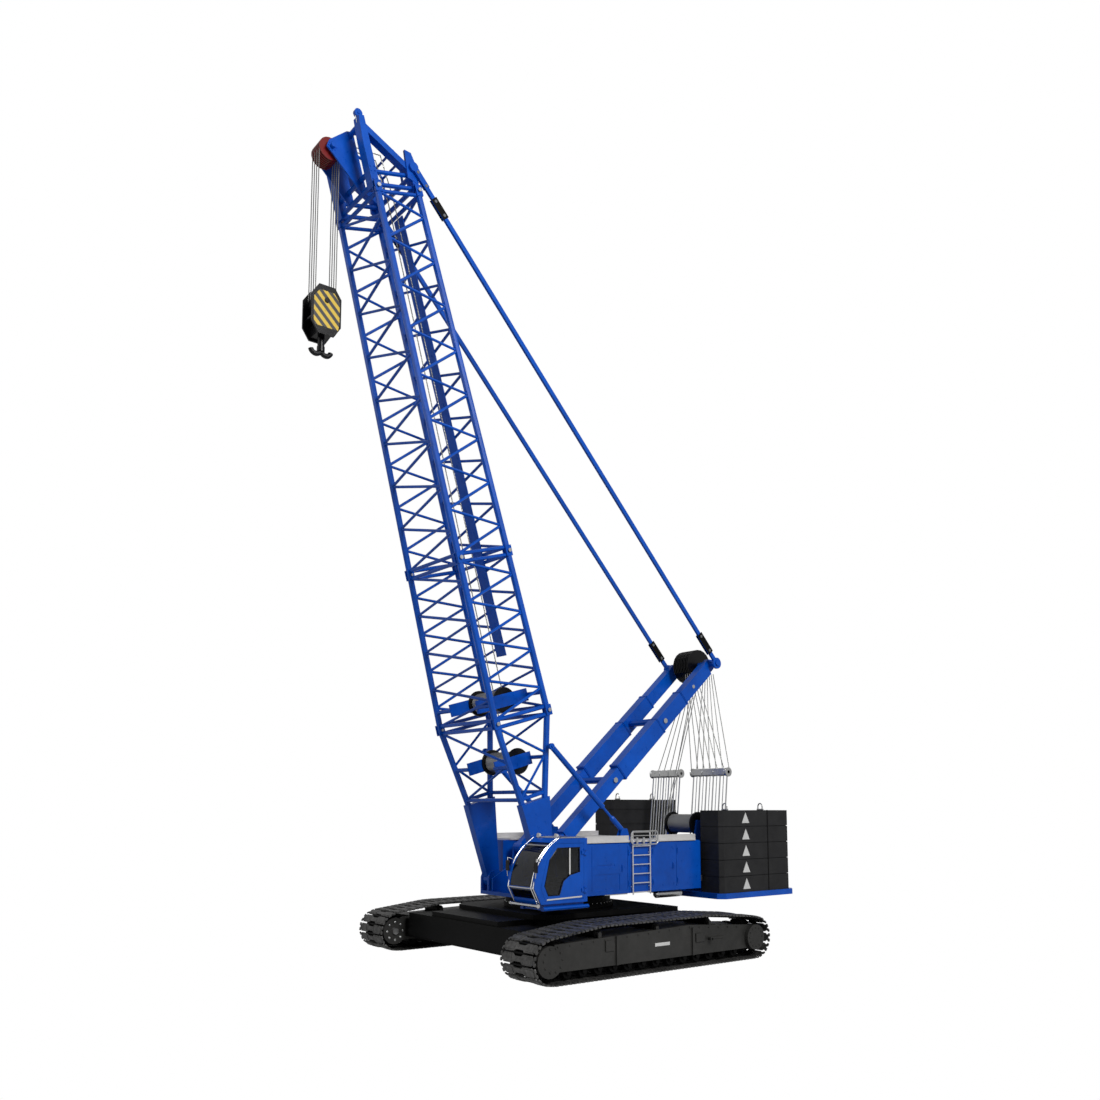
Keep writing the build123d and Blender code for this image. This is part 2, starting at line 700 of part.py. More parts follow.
def winch(length, core_radius, flange_radius, x_middle, y, z):
    drum = prism_x(x_middle - length / 2, x_middle + length / 2, y, z, core_radius, 20)
    flanges = [prism_x(x, x + flange_thickness, y, z, flange_radius, 28)
               for x in (x_middle - length / 2, x_middle + length / 2 - flange_thickness)]
    return joined([drum] + flanges)


luff_winch = winch(luff_drum_length, luff_drum_core_radius, luff_flange_radius, luff_drum_x, luff_drum_y, luff_drum_z)
save("luffing_winch", luff_winch)
stand_profile = [(luff_drum_y - 420, deck_top_z + seat_gap), (luff_drum_y + 420, deck_top_z + seat_gap),
                 (luff_drum_y + 130, luff_drum_z + 130), (luff_drum_y - 130, luff_drum_z + 130)]
stand_left = luff_drum_x - luff_drum_length / 2 - seat_gap
stand_right = luff_drum_x + luff_drum_length / 2 + seat_gap
winch_stand = joined([
    slab_yz(stand_profile, stand_left - 70, stand_left),
    slab_yz(stand_profile, stand_right, stand_right + 70),
    block(stand_left - 70, stand_right + 70, luff_drum_y - 420, luff_drum_y + 420,
          deck_top_z + seat_gap, deck_top_z + 90),
])
save("luffing_winch_stand", winch_stand)

# ------------------------------------------------------------------ cab


def cab_profile(inset):
    """Side view of the cab: flat floor, raked nose, bulged windscreen, flat roof."""
    rear = (cab_rear_y - inset, cab_bottom_z + inset)
    toe = (cab_toe_y + inset, cab_bottom_z + inset)
    nose = (cab_nose_y + inset, cab_nose_z)
    bulge = (cab_bulge[0] + inset * 0.95, cab_bulge[1] - inset * 0.3)
    brow = (cab_brow_y + inset * 0.5, cab_top_z - inset)
    back = (cab_rear_y - inset, cab_top_z - inset)
    wire = [Line(rear, toe), Line(toe, nose), ThreePointArc(nose, bulge, brow), Line(brow, back), Line(back, rear)]
    return make_face([Plane.YZ * edge for edge in wire])


def cab_prism(inset, x_from, x_to):
    return extrude(Pos(x_from, 0, 0) * cab_profile(inset), amount=x_to - x_from, dir=(1, 0, 0))


door_outline = [
    (door_rear_y, door_bottom_z), (door_front_y - 20, door_bottom_z), (door_front_y - 190, cab_nose_z + 20),
    (door_front_y + 40, 3330), (door_front_y + 380, door_top_z), (door_rear_y, door_top_z),
]
door_window = [
    (-1710.0, 2940.0), (-2080.0, 2860.0), (-2350.0, 2680.0), (-2500.0, 2270.0), (-2920.0, 2270.0),
    (-3060.0, 2560.0), (-2870.0, 3330.0), (-2570.0, 3670.0), (-1710.0, 3670.0),
]
windscreen_side = 110.0


def outline_prism(points, by, x_from, x_to):
    """A plate cut to a side view whose edges all move outwards by a clearance."""
    face = make_face(Polyline(*points, close=True))
    if by:
        face = offset(face, amount=by, kind=Kind.INTERSECTION)
    return extrude(Pos(x_from, 0, 0) * (Plane.YZ * face), amount=x_to - x_from, dir=(1, 0, 0))


hinge_x = cab_outer_x + hinge_out
hinge_y = door_rear_y + door_gap


def cab_openings():
    front = block(cab_inner_x + windscreen_side, cab_outer_x - windscreen_side, cab_nose_y - 300, cab_brow_y - 60,
                  cab_bottom_z + 160, cab_top_z - 120)
    front = front - block(cab_inner_x, cab_outer_x, cab_nose_y - 300, cab_nose_y + 200,
                          cab_nose_z - 35, cab_nose_z + 35)
    roof = block(cab_inner_x + 200, cab_outer_x - 200, cab_brow_y + 120, cab_rear_y - 260, cab_top_z - 200,
                 cab_top_z + 100)
    rear = block(cab_inner_x + 200, cab_outer_x - 200, cab_rear_y - 200, cab_rear_y + 100,
                 rear_window_zs[0], rear_window_zs[1])
    inner_side = block(cab_inner_x - 100, cab_inner_x + 200, cab_brow_y - 400, cab_rear_y - 200,
                       inner_window_zs[0], inner_window_zs[1])
    return [front, roof, rear, inner_side]


def cab_shell():
    shell = cab_prism(0, cab_inner_x, cab_outer_x) - cab_prism(cab_wall, cab_inner_x + cab_wall, cab_outer_x - cab_wall)
    for opening in cab_openings():
        shell = shell - opening
    shell = shell - outline_prism(door_outline, door_gap, cab_outer_x - cab_wall - 5, cab_outer_x + 5)
    pieces = [shell]
    ear = 30.0
    for z in hinge_zs:
        pin = Pos(hinge_x, hinge_y, z) * Cylinder(hinge_pin_radius, hinge_height + 2 * ear)
        pieces.append(pin)
        for end in (-1, 1):
            low = z + end * (hinge_height / 2 + seat_gap) - (ear if end < 0 else 0)
            pieces.append(Pos(hinge_x, hinge_y, low + ear / 2) * Cylinder(hinge_barrel_radius, ear))
            pieces.append(block(cab_outer_x - 1, hinge_x + hinge_barrel_radius, hinge_y, hinge_y + 90,
                                low, low + ear))
    return joined(pieces)


def cab_glass():
    """One pane for each opening, cut from a thin skin just inside the shell's outer face."""
    outer = cab_prism(18, cab_inner_x + 18, cab_outer_x - 18)
    skin = outer - cab_prism(18 + glass_thickness, cab_inner_x + 18 + glass_thickness,
                             cab_outer_x - 18 - glass_thickness)
    panes = []
    for opening in cab_openings():
        pane = skin & opening
        panes += list(pane.solids())
    return Compound(panes)


cab_body = cab_shell()
save("cab_shell", cab_body)
save("cab_glass", cab_glass())
door = outline_prism(door_outline, 0, cab_outer_x - cab_wall, cab_outer_x) - outline_prism(
    door_window, 0, cab_outer_x - cab_wall - 5, cab_outer_x + 5)
for z in hinge_zs:
    barrel = Pos(hinge_x, hinge_y, z) * Cylinder(hinge_barrel_radius, hinge_height)
    strap = block(cab_outer_x - 1, hinge_x, hinge_y - 110, hinge_y - 9, z - hinge_height / 2, z + hinge_height / 2)
    bore = Pos(hinge_x, hinge_y, z) * Cylinder(hinge_pin_radius + pin_play, hinge_height + 2)
    door = joined([door, strap, barrel]) - bore
save("cab_door", door)
save("cab_door_glass", outline_prism(door_window, -seat_gap, cab_outer_x - 30, cab_outer_x - 30 + glass_thickness))
cab_floor_z = cab_bottom_z + cab_wall + seat_gap
seat_x = (cab_inner_x + cab_outer_x) / 2
seat_y = cab_rear_y - 760
seat = joined([
    block(seat_x - 200, seat_x + 200, seat_y - 250, seat_y + 250, cab_floor_z, cab_floor_z + 420),
    block(seat_x - 270, seat_x + 270, seat_y - 300, seat_y + 280, cab_floor_z + 400, cab_floor_z + 540),
    slab_yz([(seat_y + 190, cab_floor_z + 500), (seat_y + 350, cab_floor_z + 500),
             (seat_y + 470, cab_floor_z + 1280), (seat_y + 350, cab_floor_z + 1280)], seat_x - 250, seat_x + 250),
    block(seat_x - 420, seat_x - 290, seat_y - 360, seat_y + 200, cab_floor_z + 560, cab_floor_z + 700),
    block(seat_x + 290, seat_x + 420, seat_y - 360, seat_y + 200, cab_floor_z + 560, cab_floor_z + 700),
    block(seat_x - 420, seat_x + 420, seat_y + 60, seat_y + 200, cab_floor_z + 440, cab_floor_z + 570),
])
save("cab_seat", seat)
arm_from = boom_leg_x + boom_leg_width / 2 + running_gap + ear_thickness + seat_gap
mount_top = cab_bottom_z - seat_gap
cab_arm = block(arm_from, cab_outer_x - 200, cab_rear_y - 420, cab_rear_y - 120, cab_arm_bottom_z + 20, mount_top - 20)
cab_rails = [block(x, x + 160, cab_toe_y + 200, cab_rear_y - 60, cab_arm_bottom_z, mount_top)
             for x in (cab_inner_x + 60, cab_outer_x - 280)]
cab_tie = block(cab_inner_x + 140, cab_outer_x - 200, cab_toe_y + 240, cab_toe_y + 340, cab_arm_bottom_z + 20,
                mount_top - 20)
step_x = cab_outer_x - step_tube / 2 + 20
step_z = cab_arm_bottom_z + step_tube / 2 + 20
step = bar((step_x, cab_toe_y + 100, step_z), (step_x, cab_rear_y + 60, step_z), step_tube, 8)
step_stays = [block(cab_outer_x - 160, step_x, y, y + 60, step_z - 30, step_z + 30)
              for y in (cab_toe_y + 260, cab_rear_y - 200)]
save("cab_mount", joined([cab_arm, cab_tie, step] + cab_rails + step_stays))

# ------------------------------------------------------------------ boom

boom_up = Vector(0, -math.cos(math.radians(boom_angle)), math.sin(math.radians(boom_angle)))
boom_back = Vector(0, math.sin(math.radians(boom_angle)), math.cos(math.radians(boom_angle)))
boom_foot = Vector(0, boom_pin_y, boom_pin_z)


def on_boom(x, n, t):
    point = boom_foot + boom_up * t + boom_back * n
    return (x, point.Y, point.Z)


def lattice_corner(side, face, t):
    """Centre of a chord: side -1 right or 1 left, face -1 front or 1 back."""
    share = (t - foot_joint_t) / (head_joint_t - foot_joint_t)
    width = lattice_width_foot + share * (lattice_width_head - lattice_width_foot)
    depth = lattice_depth_foot + share * (lattice_depth_head - lattice_depth_foot)
    return on_boom(side * width / 2, boom_axis_n + face * depth / 2, t)


corners = ((-1, -1), (1, -1), (1, 1), (-1, 1))     # side, face, round the section


def chord(start, end):
    """A chord tube whose ends are cut square to the boom, so that it meets the next one flush."""
    start = Vector(*start)
    run = Vector(*end) - start
    section = Plane(origin=start, x_dir=(1, 0, 0), z_dir=boom_up) * RegularPolygon(chord_size / 2, 8)
    return extrude(section, amount=run.length, dir=run.normalized())


def laced(corner_at, t_from, t_to, bays, step_from=0):
    """Zigzag lacing on all four faces between two stations."""
    pieces = []
    steps = 2 * bays
    for index, corner in enumerate(corners):
        following = corners[(index + 1) % 4]
        for step in range(steps):
            start, end = (corner, following) if (step + step_from) % 2 == 0 else (following, corner)
            pieces.append(bar(corner_at(*start, t_from + (t_to - t_from) * step / steps),
                              corner_at(*end, t_from + (t_to - t_from) * (step + 1) / steps), lacing_size))
    return pieces


def cross_frame(corner_at, t):
    return [bar(corner_at(*corner, t), corner_at(*corners[(index + 1) % 4], t), cross_tube_size,
                ridge=tuple(boom_back)) for index, corner in enumerate(corners)]


def winch_plates(corner_at, t):
    """A plate on each side of a winch, hung between cross bars of the front and the back face."""
    pieces = []
    for side in (-1, 1):
        x_plate = side * (drum_length / 2 + seat_gap + winch_plate / 2)
        front = corner_at(side, -1, t)
        back = corner_at(side, 1, t)
        pieces.append(flat_bar((x_plate, front[1], front[2]), (x_plate, back[1], back[2]), winch_plate, 420))
        pieces.append(bar(front, (x_plate - side * winch_plate / 2, front[1], front[2]), cross_tube_size))
        pieces.append(bar(back, (x_plate - side * winch_plate / 2, back[1], back[2]), cross_tube_size))
    return pieces


def lattice(t_from, t_to, bays, fittings):
    """One boom section: four chords, cross tubes at both ends and zigzag lacing on each face."""
    pieces = [chord(lattice_corner(side, face, t_from + seat_gap), lattice_corner(side, face, t_to))
              for side, face in corners]
    ends = (t_from + joint_flange + cross_tube_size / 2, t_to - joint_flange - cross_tube_size / 2)
    for t in ends:
        pieces += cross_frame(lattice_corner, t)
    pieces += laced(lattice_corner, ends[0], ends[1], bays)
    return joined(pieces + fittings)


def foot_corner(side, face, t):
    """Centre of a chord in the foot section, from the legs up to the joint."""
    n_low = leg_front_n if face < 0 else leg_back_n
    n_high = boom_axis_n + face * lattice_depth_foot / 2
    share = (t - leg_top_t) / (foot_joint_t - leg_top_t)
    x = boom_leg_x + share * (lattice_width_foot / 2 - boom_leg_x)
    return on_boom(side * x, n_low + share * (n_high - n_low), t)


def boom_foot_section():
    """Two plated legs on the foot pins, chords that spread to the joint, and the backstop pins."""
    pieces = []
    for side in (-1, 1):
        x_from = side * boom_leg_x - boom_leg_width / 2
        x_to = x_from + boom_leg_width
        side_view = [on_boom(0, n, t)[1:] for n, t in (
            (60 - ear_radius, 60), (leg_front_n - chord_size / 2, leg_top_t),
            (leg_back_n + chord_size / 2, leg_top_t), (ear_radius - 60, 60))]
        leg = slab_yz(side_view, x_from, x_to)
        eye = prism_x(x_from, x_to, boom_pin_y, boom_pin_z, ear_radius - 30, 16)
        bore = prism_x(x_from - 1, x_to + 1, boom_pin_y, boom_pin_z, boom_pin_radius + pin_play, 16)
        pieces.append(leg + eye - bore)
        stop = foot_corner(side, 1, stop_head_t)
        x_ends = sorted((stop[0], side * (stop_x + stop_eye_width / 2 + 40)))
        pieces.append(disc_x(x_ends[0], x_ends[1], stop[1], stop[2], stop_pin_radius))
        x_ends = sorted((stop[0], side * (stop_x - stop_eye_width / 2 - running_gap)))
        pieces.append(disc_x(x_ends[0], x_ends[1], stop[1], stop[2], stop_pin_radius * 1.6))
    for side, face in corners:
        pieces.append(chord(foot_corner(side, face, leg_top_t - 120), foot_corner(side, face, foot_joint_t)))
    cross_ts = (leg_top_t + 160, foot_joint_t - joint_flange - cross_tube_size / 2)
    for t in cross_ts:
        pieces += cross_frame(foot_corner, t)
    pieces += laced(foot_corner, cross_ts[0], cross_ts[1], 1)
    pieces += winch_plates(foot_corner, winch_low_t)
    return joined(pieces)


save("boom_foot_section", boom_foot_section())
save("boom_middle_section", lattice(foot_joint_t, middle_joint_t, middle_bays,
                                    winch_plates(lattice_corner, winch_high_t)))
save("boom_upper_section", lattice(middle_joint_t, head_joint_t, upper_bays, []))
for name, t in (("winch_low", winch_low_t), ("winch_high", winch_high_t)):
    centre = on_boom(0, winch_n, t)
    save(name, winch(drum_length, drum_radius, drum_flange_radius, 0, centre[1], centre[2]))


def catwalk(t_from, t_to):
    """A flat walkway under the lacing of the back face."""
    def middle(t):
        share = (t - foot_joint_t) / (head_joint_t - foot_joint_t)
        depth = lattice_depth_foot + share * (lattice_depth_head - lattice_depth_foot)
        below = cross_tube_size / 2 + seat_gap + catwalk_thickness / 2
        return on_boom(0, boom_axis_n + depth / 2 - below, t)
    return flat_bar(middle(t_from), middle(t_to), catwalk_width, catwalk_thickness)


save("boom_catwalk", catwalk(catwalk_start_t, head_joint_t - 300))


def head_view(points):
    return [on_boom(0, n, t)[1:] for n, t in points]


def boom_head():
    """Posts that carry on the front chords, stays down to a back frame, and arms for the sheaves' shaft."""
    back_n = boom_axis_n + lattice_depth_head / 2
    front_n = boom_axis_n - lattice_depth_head / 2
    base_t = head_joint_t + seat_gap
    post_view = head_view(((front_n - 130, base_t), (front_n + 130, base_t), (front_n + 110, post_top_t),
                           (front_n - 80, post_top_t), (front_n - 130, post_top_t - 700)))
    back_view = head_view(((back_n - 105, base_t), (back_n + 105, base_t), (back_n + 105, back_post_top_t),
                           (back_n - 105, back_post_top_t)))
    lug_view = head_view(((back_n - 260, base_t + 420), (back_n + 105, base_t + 240), (pendant_lug_n + 170, pendant_lug_t),
                          (back_n + 60, pendant_lug_t + 480), (back_n - 160, pendant_lug_t + 560)))
    ear_view = head_view(((front_n - 60, post_top_t - 40), (front_n + 90, post_top_t - 40),
                          (front_n + 90, rope_lug_t), (front_n - 60, rope_lug_t)))
    arm_view = head_view(((front_n - 70, head_bar_ts[0]), (front_n + 130, head_bar_ts[0]), (front_n + 110, top_tube_t + 110),
                          (front_n - 110, top_tube_t + 110), (head_shaft_n - 60, head_shaft_t + 200),
                          (head_shaft_n - 190, head_shaft_t), (head_shaft_n - 60, head_shaft_t - 190)))
    pieces = []
    arm_x = head_sheave_count * head_sheave_pitch / 2 + 100
    for side in (-1, 1):
        x_from, x_to = sorted((side * (post_x - post_width / 2), side * (post_x + post_width / 2)))
        pieces.append(slab_yz(post_view, x_from, x_to))
        pieces.append(slab_yz(back_view, x_from, x_to))
        lug_from, lug_to = sorted((side * (post_x + 90), side * (pendant_x - pendant_width / 2 - running_gap)))
        pieces.append(slab_yz(lug_view, lug_from, lug_to))
        pieces.append(prism_x(lug_from, lug_to, *on_boom(0, pendant_lug_n, pendant_lug_t)[1:], lug_radius, 16))
        pieces.append(flat_bar(on_boom(side * post_x, front_n + 60, post_top_t - 300),
                               on_boom(side * post_x, back_n - 40, back_post_top_t - 120), post_width - 60, 190))
        pieces.append(slab_yz(ear_view, side * post_x - 45, side * post_x + 45))
        pieces.append(prism_x(side * post_x - 60, side * post_x + 60, *on_boom(0, front_n + 15, rope_lug_t)[1:], 130, 12))
        pieces.append(slab_yz(arm_view, side * arm_x - arm_thickness / 2, side * arm_x + arm_thickness / 2))
        for t in head_bar_ts:
            pieces.append(bar(on_boom(side * post_x, front_n, t), on_boom(side * post_x, back_n, t), head_bar_size, 6))
        for start, end in zip(guide_points, guide_points[1:]):
            pieces.append(bar(on_boom(side * guide_x, *start), on_boom(side * guide_x, *end), 90, 6))
    for t in head_bar_ts:
        for n in (front_n, back_n):
            pieces.append(bar(on_boom(-post_x, n, t), on_boom(post_x, n, t), head_bar_size, 6))
    pieces.append(bar(on_boom(-post_x, front_n, top_tube_t), on_boom(post_x, front_n, top_tube_t), top_tube_size, 10))
    for n, t in guide_points[2:4]:
        pieces.append(bar(on_boom(-guide_x - 60, n, t), on_boom(guide_x + 60, n, t), 80, 6))
    shaft = on_boom(0, head_shaft_n, head_shaft_t)
    reach = arm_x + arm_thickness / 2 + 120
    pieces.append(disc_x(-reach, reach, shaft[1], shaft[2], head_shaft_radius))
    return joined(pieces)


save("boom_head", boom_head())


def sheave(x, y, z, radius, width, bore_radius, turns_under_rope=False):
    """A grooved disc; where the rope swings round it, the groove's floor is a true round."""
    floor_from, floor_to, floor_radius = x - width / 5, x + width / 5, radius - sheave_groove
    floor = prism_x(floor_from, floor_to, y, z, floor_radius, sheave_sides)
    if turns_under_rope:
        floor = disc_x(floor_from, floor_to, y, z, floor_radius)
    rim = prism_x(x - width / 2, x + width / 2, y, z, radius, sheave_sides)
    groove = prism_x(floor_from, floor_to, y, z, radius + 20, sheave_sides) - floor
    return rim - groove - prism_x(x - width, x + width, y, z, bore_radius, 8)


def sheave_row(count, pitch, y, z, radius, width, bore_radius, turns_under_rope=False):
    first = -pitch * (count - 1) / 2
    return [sheave(first + pitch * index, y, z, radius, width, bore_radius, turns_under_rope)
            for index in range(count)]


head_shaft = on_boom(0, head_shaft_n, head_shaft_t)
save("boom_head_sheaves", Compound(sheave_row(head_sheave_count, head_sheave_pitch, head_shaft[1], head_shaft[2],
                                              head_sheave_radius, head_sheave_width,
                                              head_shaft_radius + seat_gap, True)))

# ------------------------------------------------------------------ hook tackle

hoist_y = head_shaft[1]
hook_sheave_z = hook_block_z + 330


def hook_block():
    half = hook_half_thickness
    profile = [(hoist_y - hook_cheek_width / 2, hook_block_z - 420), (hoist_y - 250, hook_block_z - 760),
               (hoist_y + 260, hook_block_z - 760), (hoist_y + hook_cheek_width / 2, hook_block_z - 420),
               (hoist_y + hook_cheek_width / 2, hook_block_z + 480), (hoist_y + 260, hook_block_z + 800),
               (hoist_y - 260, hook_block_z + 800), (hoist_y - hook_cheek_width / 2, hook_block_z + 480)]
    cheeks = [slab_yz(profile, x, x + hook_cheek_thickness) for x in (-half, half - hook_cheek_thickness)]
    crosshead = block(-half, half, hoist_y - 230, hoist_y + 230, hook_block_z - 700, hook_block_z - crosshead_drop)
    bore = Pos(0, hoist_y, hook_block_z - 520) * Cylinder(hook_shank_radius + pin_play, 500)
    shaft = disc_x(-half - 40, half + 40, hoist_y, hook_sheave_z, 80)
    spacers = [prism_x(-half, half, hoist_y + side * out, hook_block_z + up, 35, 8)
               for side in (-1, 1) for out, up in hook_spacers]
    return joined(cheeks + [crosshead, shaft] + spacers) - bore


save("hook_block", hook_block())
save("hook_sheaves", Compound([sheave(x, hoist_y, hook_sheave_z, hook_sheave_radius, 110, 80 + seat_gap)
                               for x in hook_rope_xs]))


def hoist_ropes():
    """Two falls on each sheave, parted by the sheaves' own size."""
    falls = []
    for x in hook_rope_xs:
        for side in (-1, 1):
            off_groove = hoist_rope_size / 2 + seat_gap - sheave_groove
            top_y = hoist_y + side * (head_sheave_radius + off_groove)
            low_y = hoist_y + side * (hook_sheave_radius + off_groove)
            falls.append(bar((x, low_y, hook_sheave_z), (x, top_y, head_shaft[2]), hoist_rope_size,
                             ridge=(0, 1, 0)))
    return falls


save("hoist_ropes", Compound(hoist_ropes()))


def hook():
    """Double hook: a shank with two round arms that curl up to blunt tips."""
    shank_top = hook_block_z - crosshead_drop + seat_gap + 100
    arm_z = hook_block_z - hook_arm_drop
    shank = Pos(0, hoist_y, (shank_top + arm_z) / 2) * Cylinder(hook_shank_radius, shank_top - arm_z)
    nut = extrude(Plane(origin=(0, hoist_y, shank_top - 100)) * RegularPolygon(190, 6), amount=100)
    boss = Pos(0, hoist_y, arm_z) * Cylinder(hook_shank_radius + 15, 2 * hook_section)
    pieces = [shank, nut, boss]
    for side in (-1, 1):
        centre = (0, hoist_y + side * hook_curl, arm_z)
        plane = Plane(origin=(0, hoist_y, arm_z), x_dir=(1, 0, 0), z_dir=(0, 0, 1))
        section = plane * RegularPolygon(hook_section, 8, rotation=22.5)
        pieces.append(revolve(section, Axis(centre, (side, 0, 0)), 165))
    return joined(pieces)


save("hook", hook())

# ------------------------------------------------------------------ mast

mast_foot = Vector(0, mast_pin_y, mast_pin_z)
mast_head = Vector(0, mast_head_y, mast_head_z)
mast_run = mast_head - mast_foot
mast_along = mast_run.normalized()
mast_up = Vector(0, -mast_along.Z, mast_along.Y)


def on_mast(x, share, rise=0.0):
    point = mast_foot + mast_run * share + mast_up * rise
    return (x, point.Y, point.Z)


def mast():
    """Two legs of stepped box sections, tied by tubes, with a plated head for the sheaves."""
    pieces = []
    for side in (-1, 1):
        x = side * mast_leg_x
        foot = flat_bar(on_mast(x, 0.0), on_mast(x, 0.08), mast_foot_width, mast_foot_depth * 0.8)
        foot = foot + prism_x(x - mast_foot_width / 2, x + mast_foot_width / 2, mast_pin_y, mast_pin_z, 165, 12)
        bore = prism_x(x - 300, x + 300, mast_pin_y, mast_pin_z, mast_pin_radius + pin_play, 12)
        pieces.append(foot - bore)
        for start, end, ratio in mast_sleeves:
            pieces.append(flat_bar(on_mast(x, start), on_mast(x, end), mast_leg_width * (0.55 + 0.45 * ratio),
                                   mast_leg_depth * ratio))
        head_view = [on_mast(0, share, rise)[1:] for share, rise in (
            (0.93, -230), (1.0, -230), (1.025, 0), (1.0, 230), (0.93, 230))]
        pieces.append(slab_yz(head_view, x - 90, x + 90))
    for share in mast_tube_places:
        pieces.append(bar(on_mast(-mast_leg_x, share), on_mast(mast_leg_x, share), mast_tube, 8))
    reach = pendant_x + pendant_width / 2 + 50
    pieces.append(disc_x(-reach, reach, mast_head_y, mast_head_z, mast_shaft_radius))
    return joined(pieces)


save("mast", mast())
save("mast_head_sheaves", Compound(sheave_row(mast_sheave_count, mast_sheave_pitch, mast_head_y, mast_head_z,
                                              mast_sheave_radius, mast_sheave_width,
                                              mast_shaft_radius + seat_gap)))


def pendant(side):
    """A stay from the mast's head shaft to the lug on the boom head."""
    x = side * pendant_x
    top = on_boom(x, pendant_lug_n, pendant_lug_t)
    low = (x, mast_head_y, mast_head_z)
    rod = flat_bar(top, low, pendant_width, pendant_height)
    ends = [prism_x(x - pendant_width / 2, x + pendant_width / 2, top[1], top[2], pendant_eye_radius, 16),
            prism_x(x - pendant_width / 2, x + pendant_width / 2, low[1], low[2], pendant_eye_radius + 60, 16)]
    bore = prism_x(x - 200, x + 200, low[1], low[2], mast_shaft_radius + pin_play, 12)
    return joined([rod] + ends) - bore


save("pendants", both_sides(pendant(1)))

# ------------------------------------------------------------------ luffing tackle links

link_run = mast_head - Vector(0, link_anchor_y, link_anchor_z)
link_along = link_run.normalized()


def link_block(x_middle, half):
    """Rods from the deck up to a floating block of sheaves."""
    foot = Vector(0, link_anchor_y, link_anchor_z)
    head = foot + link_along * link_block_height
    reach = half + 70
    pieces = [prism_x(x_middle - reach, x_middle + reach, head.Y, head.Z, link_shaft_radius, 10),
              disc_x(x_middle - reach, x_middle + reach, foot.Y, foot.Z, link_shaft_radius)]
    for index in range(link_rod_count):
        x = x_middle - half + 2 * half * index / (link_rod_count - 1)
        pieces.append(bar((x, foot.Y, foot.Z), (x, head.Y, head.Z), link_rod_radius * 2, 6))
        pieces.append(prism_x(x - 60, x + 60, head.Y, head.Z, link_block_radius, 12))
    return joined(pieces)


save("tackle_links", Compound([link_block(*row) for row in link_blocks]))

# ------------------------------------------------------------------ backstops

stop_foot = Vector(0, stop_foot_y, stop_foot_z)
stop_head = Vector(0, *foot_corner(1, 1, stop_head_t)[1:])
stop_run = stop_head - stop_foot
stop_along = stop_run.normalized()


def at(x, point):
    return (x, point.Y, point.Z)


def backstop_tube(side):
    x = side * stop_x
    mouth = stop_head - stop_along * stop_tube_length
    top = stop_head - stop_along * (stop_pin_radius * 1.6 + 30)
    tube = round_bar(at(x, mouth), at(x, top), stop_tube_radius)
    neck = flat_bar(at(x, top), at(x, stop_head), stop_eye_width, stop_tube_radius * 1.6)
    bore = round_bar(at(x, mouth - stop_along * 10), at(x, stop_head - stop_along * stop_tube_end),
                     stop_rod_radius + stop_rod_play)
    eye = prism_x(x - stop_eye_width / 2, x + stop_eye_width / 2, stop_head.Y, stop_head.Z, stop_eye_radius, 12)
    pin_bore = prism_x(x - 200, x + 200, stop_head.Y, stop_head.Z, stop_pin_radius + pin_play, 12)
    return joined([tube - bore, neck, eye]) - pin_bore


def backstop_rod(side):
    x = side * stop_x
    tip = stop_foot + stop_along * stop_rod_length
    rod = round_bar(at(x, stop_foot), at(x, tip), stop_rod_radius)
    return rod + prism_x(x - stop_eye_width / 2, x + stop_eye_width / 2, stop_foot.Y, stop_foot.Z, stop_eye_radius, 12)


save("backstop_tubes", both_sides(backstop_tube(1)))
save("backstop_rods", both_sides(backstop_rod(1)))


def stop_bracket(side):
    """Two ears that stand beside the rod's eye."""
    x = side * stop_x
    base_z = house_top_z + walkway_thickness + 2 * seat_gap
    view = [(stop_foot_y - 260, base_z), (stop_foot_y + 260, base_z), (stop_foot_y + 110, stop_foot_z + 90),
            (stop_foot_y - 110, stop_foot_z + 90)]
    gap = stop_eye_width / 2 + running_gap
    base = block(x - 150, x + 150, stop_foot_y - 260, stop_foot_y + 260, base_z, base_z + 30)
    return joined([slab_yz(view, x - gap - 40, x - gap), slab_yz(view, x + gap, x + gap + 40), base])


save("backstop_brackets", both_sides(stop_bracket(1)))
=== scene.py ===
# %% [markdown]
# # A crawler crane, dressed for the camera
# The construction model already holds every solid form of the machine: tracks, turntable, lattice
# boom, mast, tackle and cab. This lesson loads that model as a fixed frame, gives each surface a
# finish made of nodes, and adds what a drawing office leaves out, such as ropes, bolts, trims and
# cushions. Nothing of the frame is moved, so every new piece is placed by the frame's own sizes.

# %% The frame
import math

import bmesh
import bpy
from mathutils import Matrix, Vector


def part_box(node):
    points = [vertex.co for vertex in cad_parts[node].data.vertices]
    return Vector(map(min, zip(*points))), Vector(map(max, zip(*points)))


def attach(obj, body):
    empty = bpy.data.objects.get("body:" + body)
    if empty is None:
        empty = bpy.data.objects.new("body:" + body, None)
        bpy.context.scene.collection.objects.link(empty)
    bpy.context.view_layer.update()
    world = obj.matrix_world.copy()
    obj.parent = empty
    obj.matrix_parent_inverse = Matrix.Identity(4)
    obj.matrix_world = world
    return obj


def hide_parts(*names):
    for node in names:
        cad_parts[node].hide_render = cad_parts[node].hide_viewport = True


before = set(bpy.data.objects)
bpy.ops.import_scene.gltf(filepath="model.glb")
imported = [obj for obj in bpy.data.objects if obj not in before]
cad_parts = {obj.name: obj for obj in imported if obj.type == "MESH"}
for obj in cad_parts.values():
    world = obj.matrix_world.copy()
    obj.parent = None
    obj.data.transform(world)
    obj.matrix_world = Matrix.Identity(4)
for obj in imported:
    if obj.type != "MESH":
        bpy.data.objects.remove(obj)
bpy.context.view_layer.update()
print("nodes:", len(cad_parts))

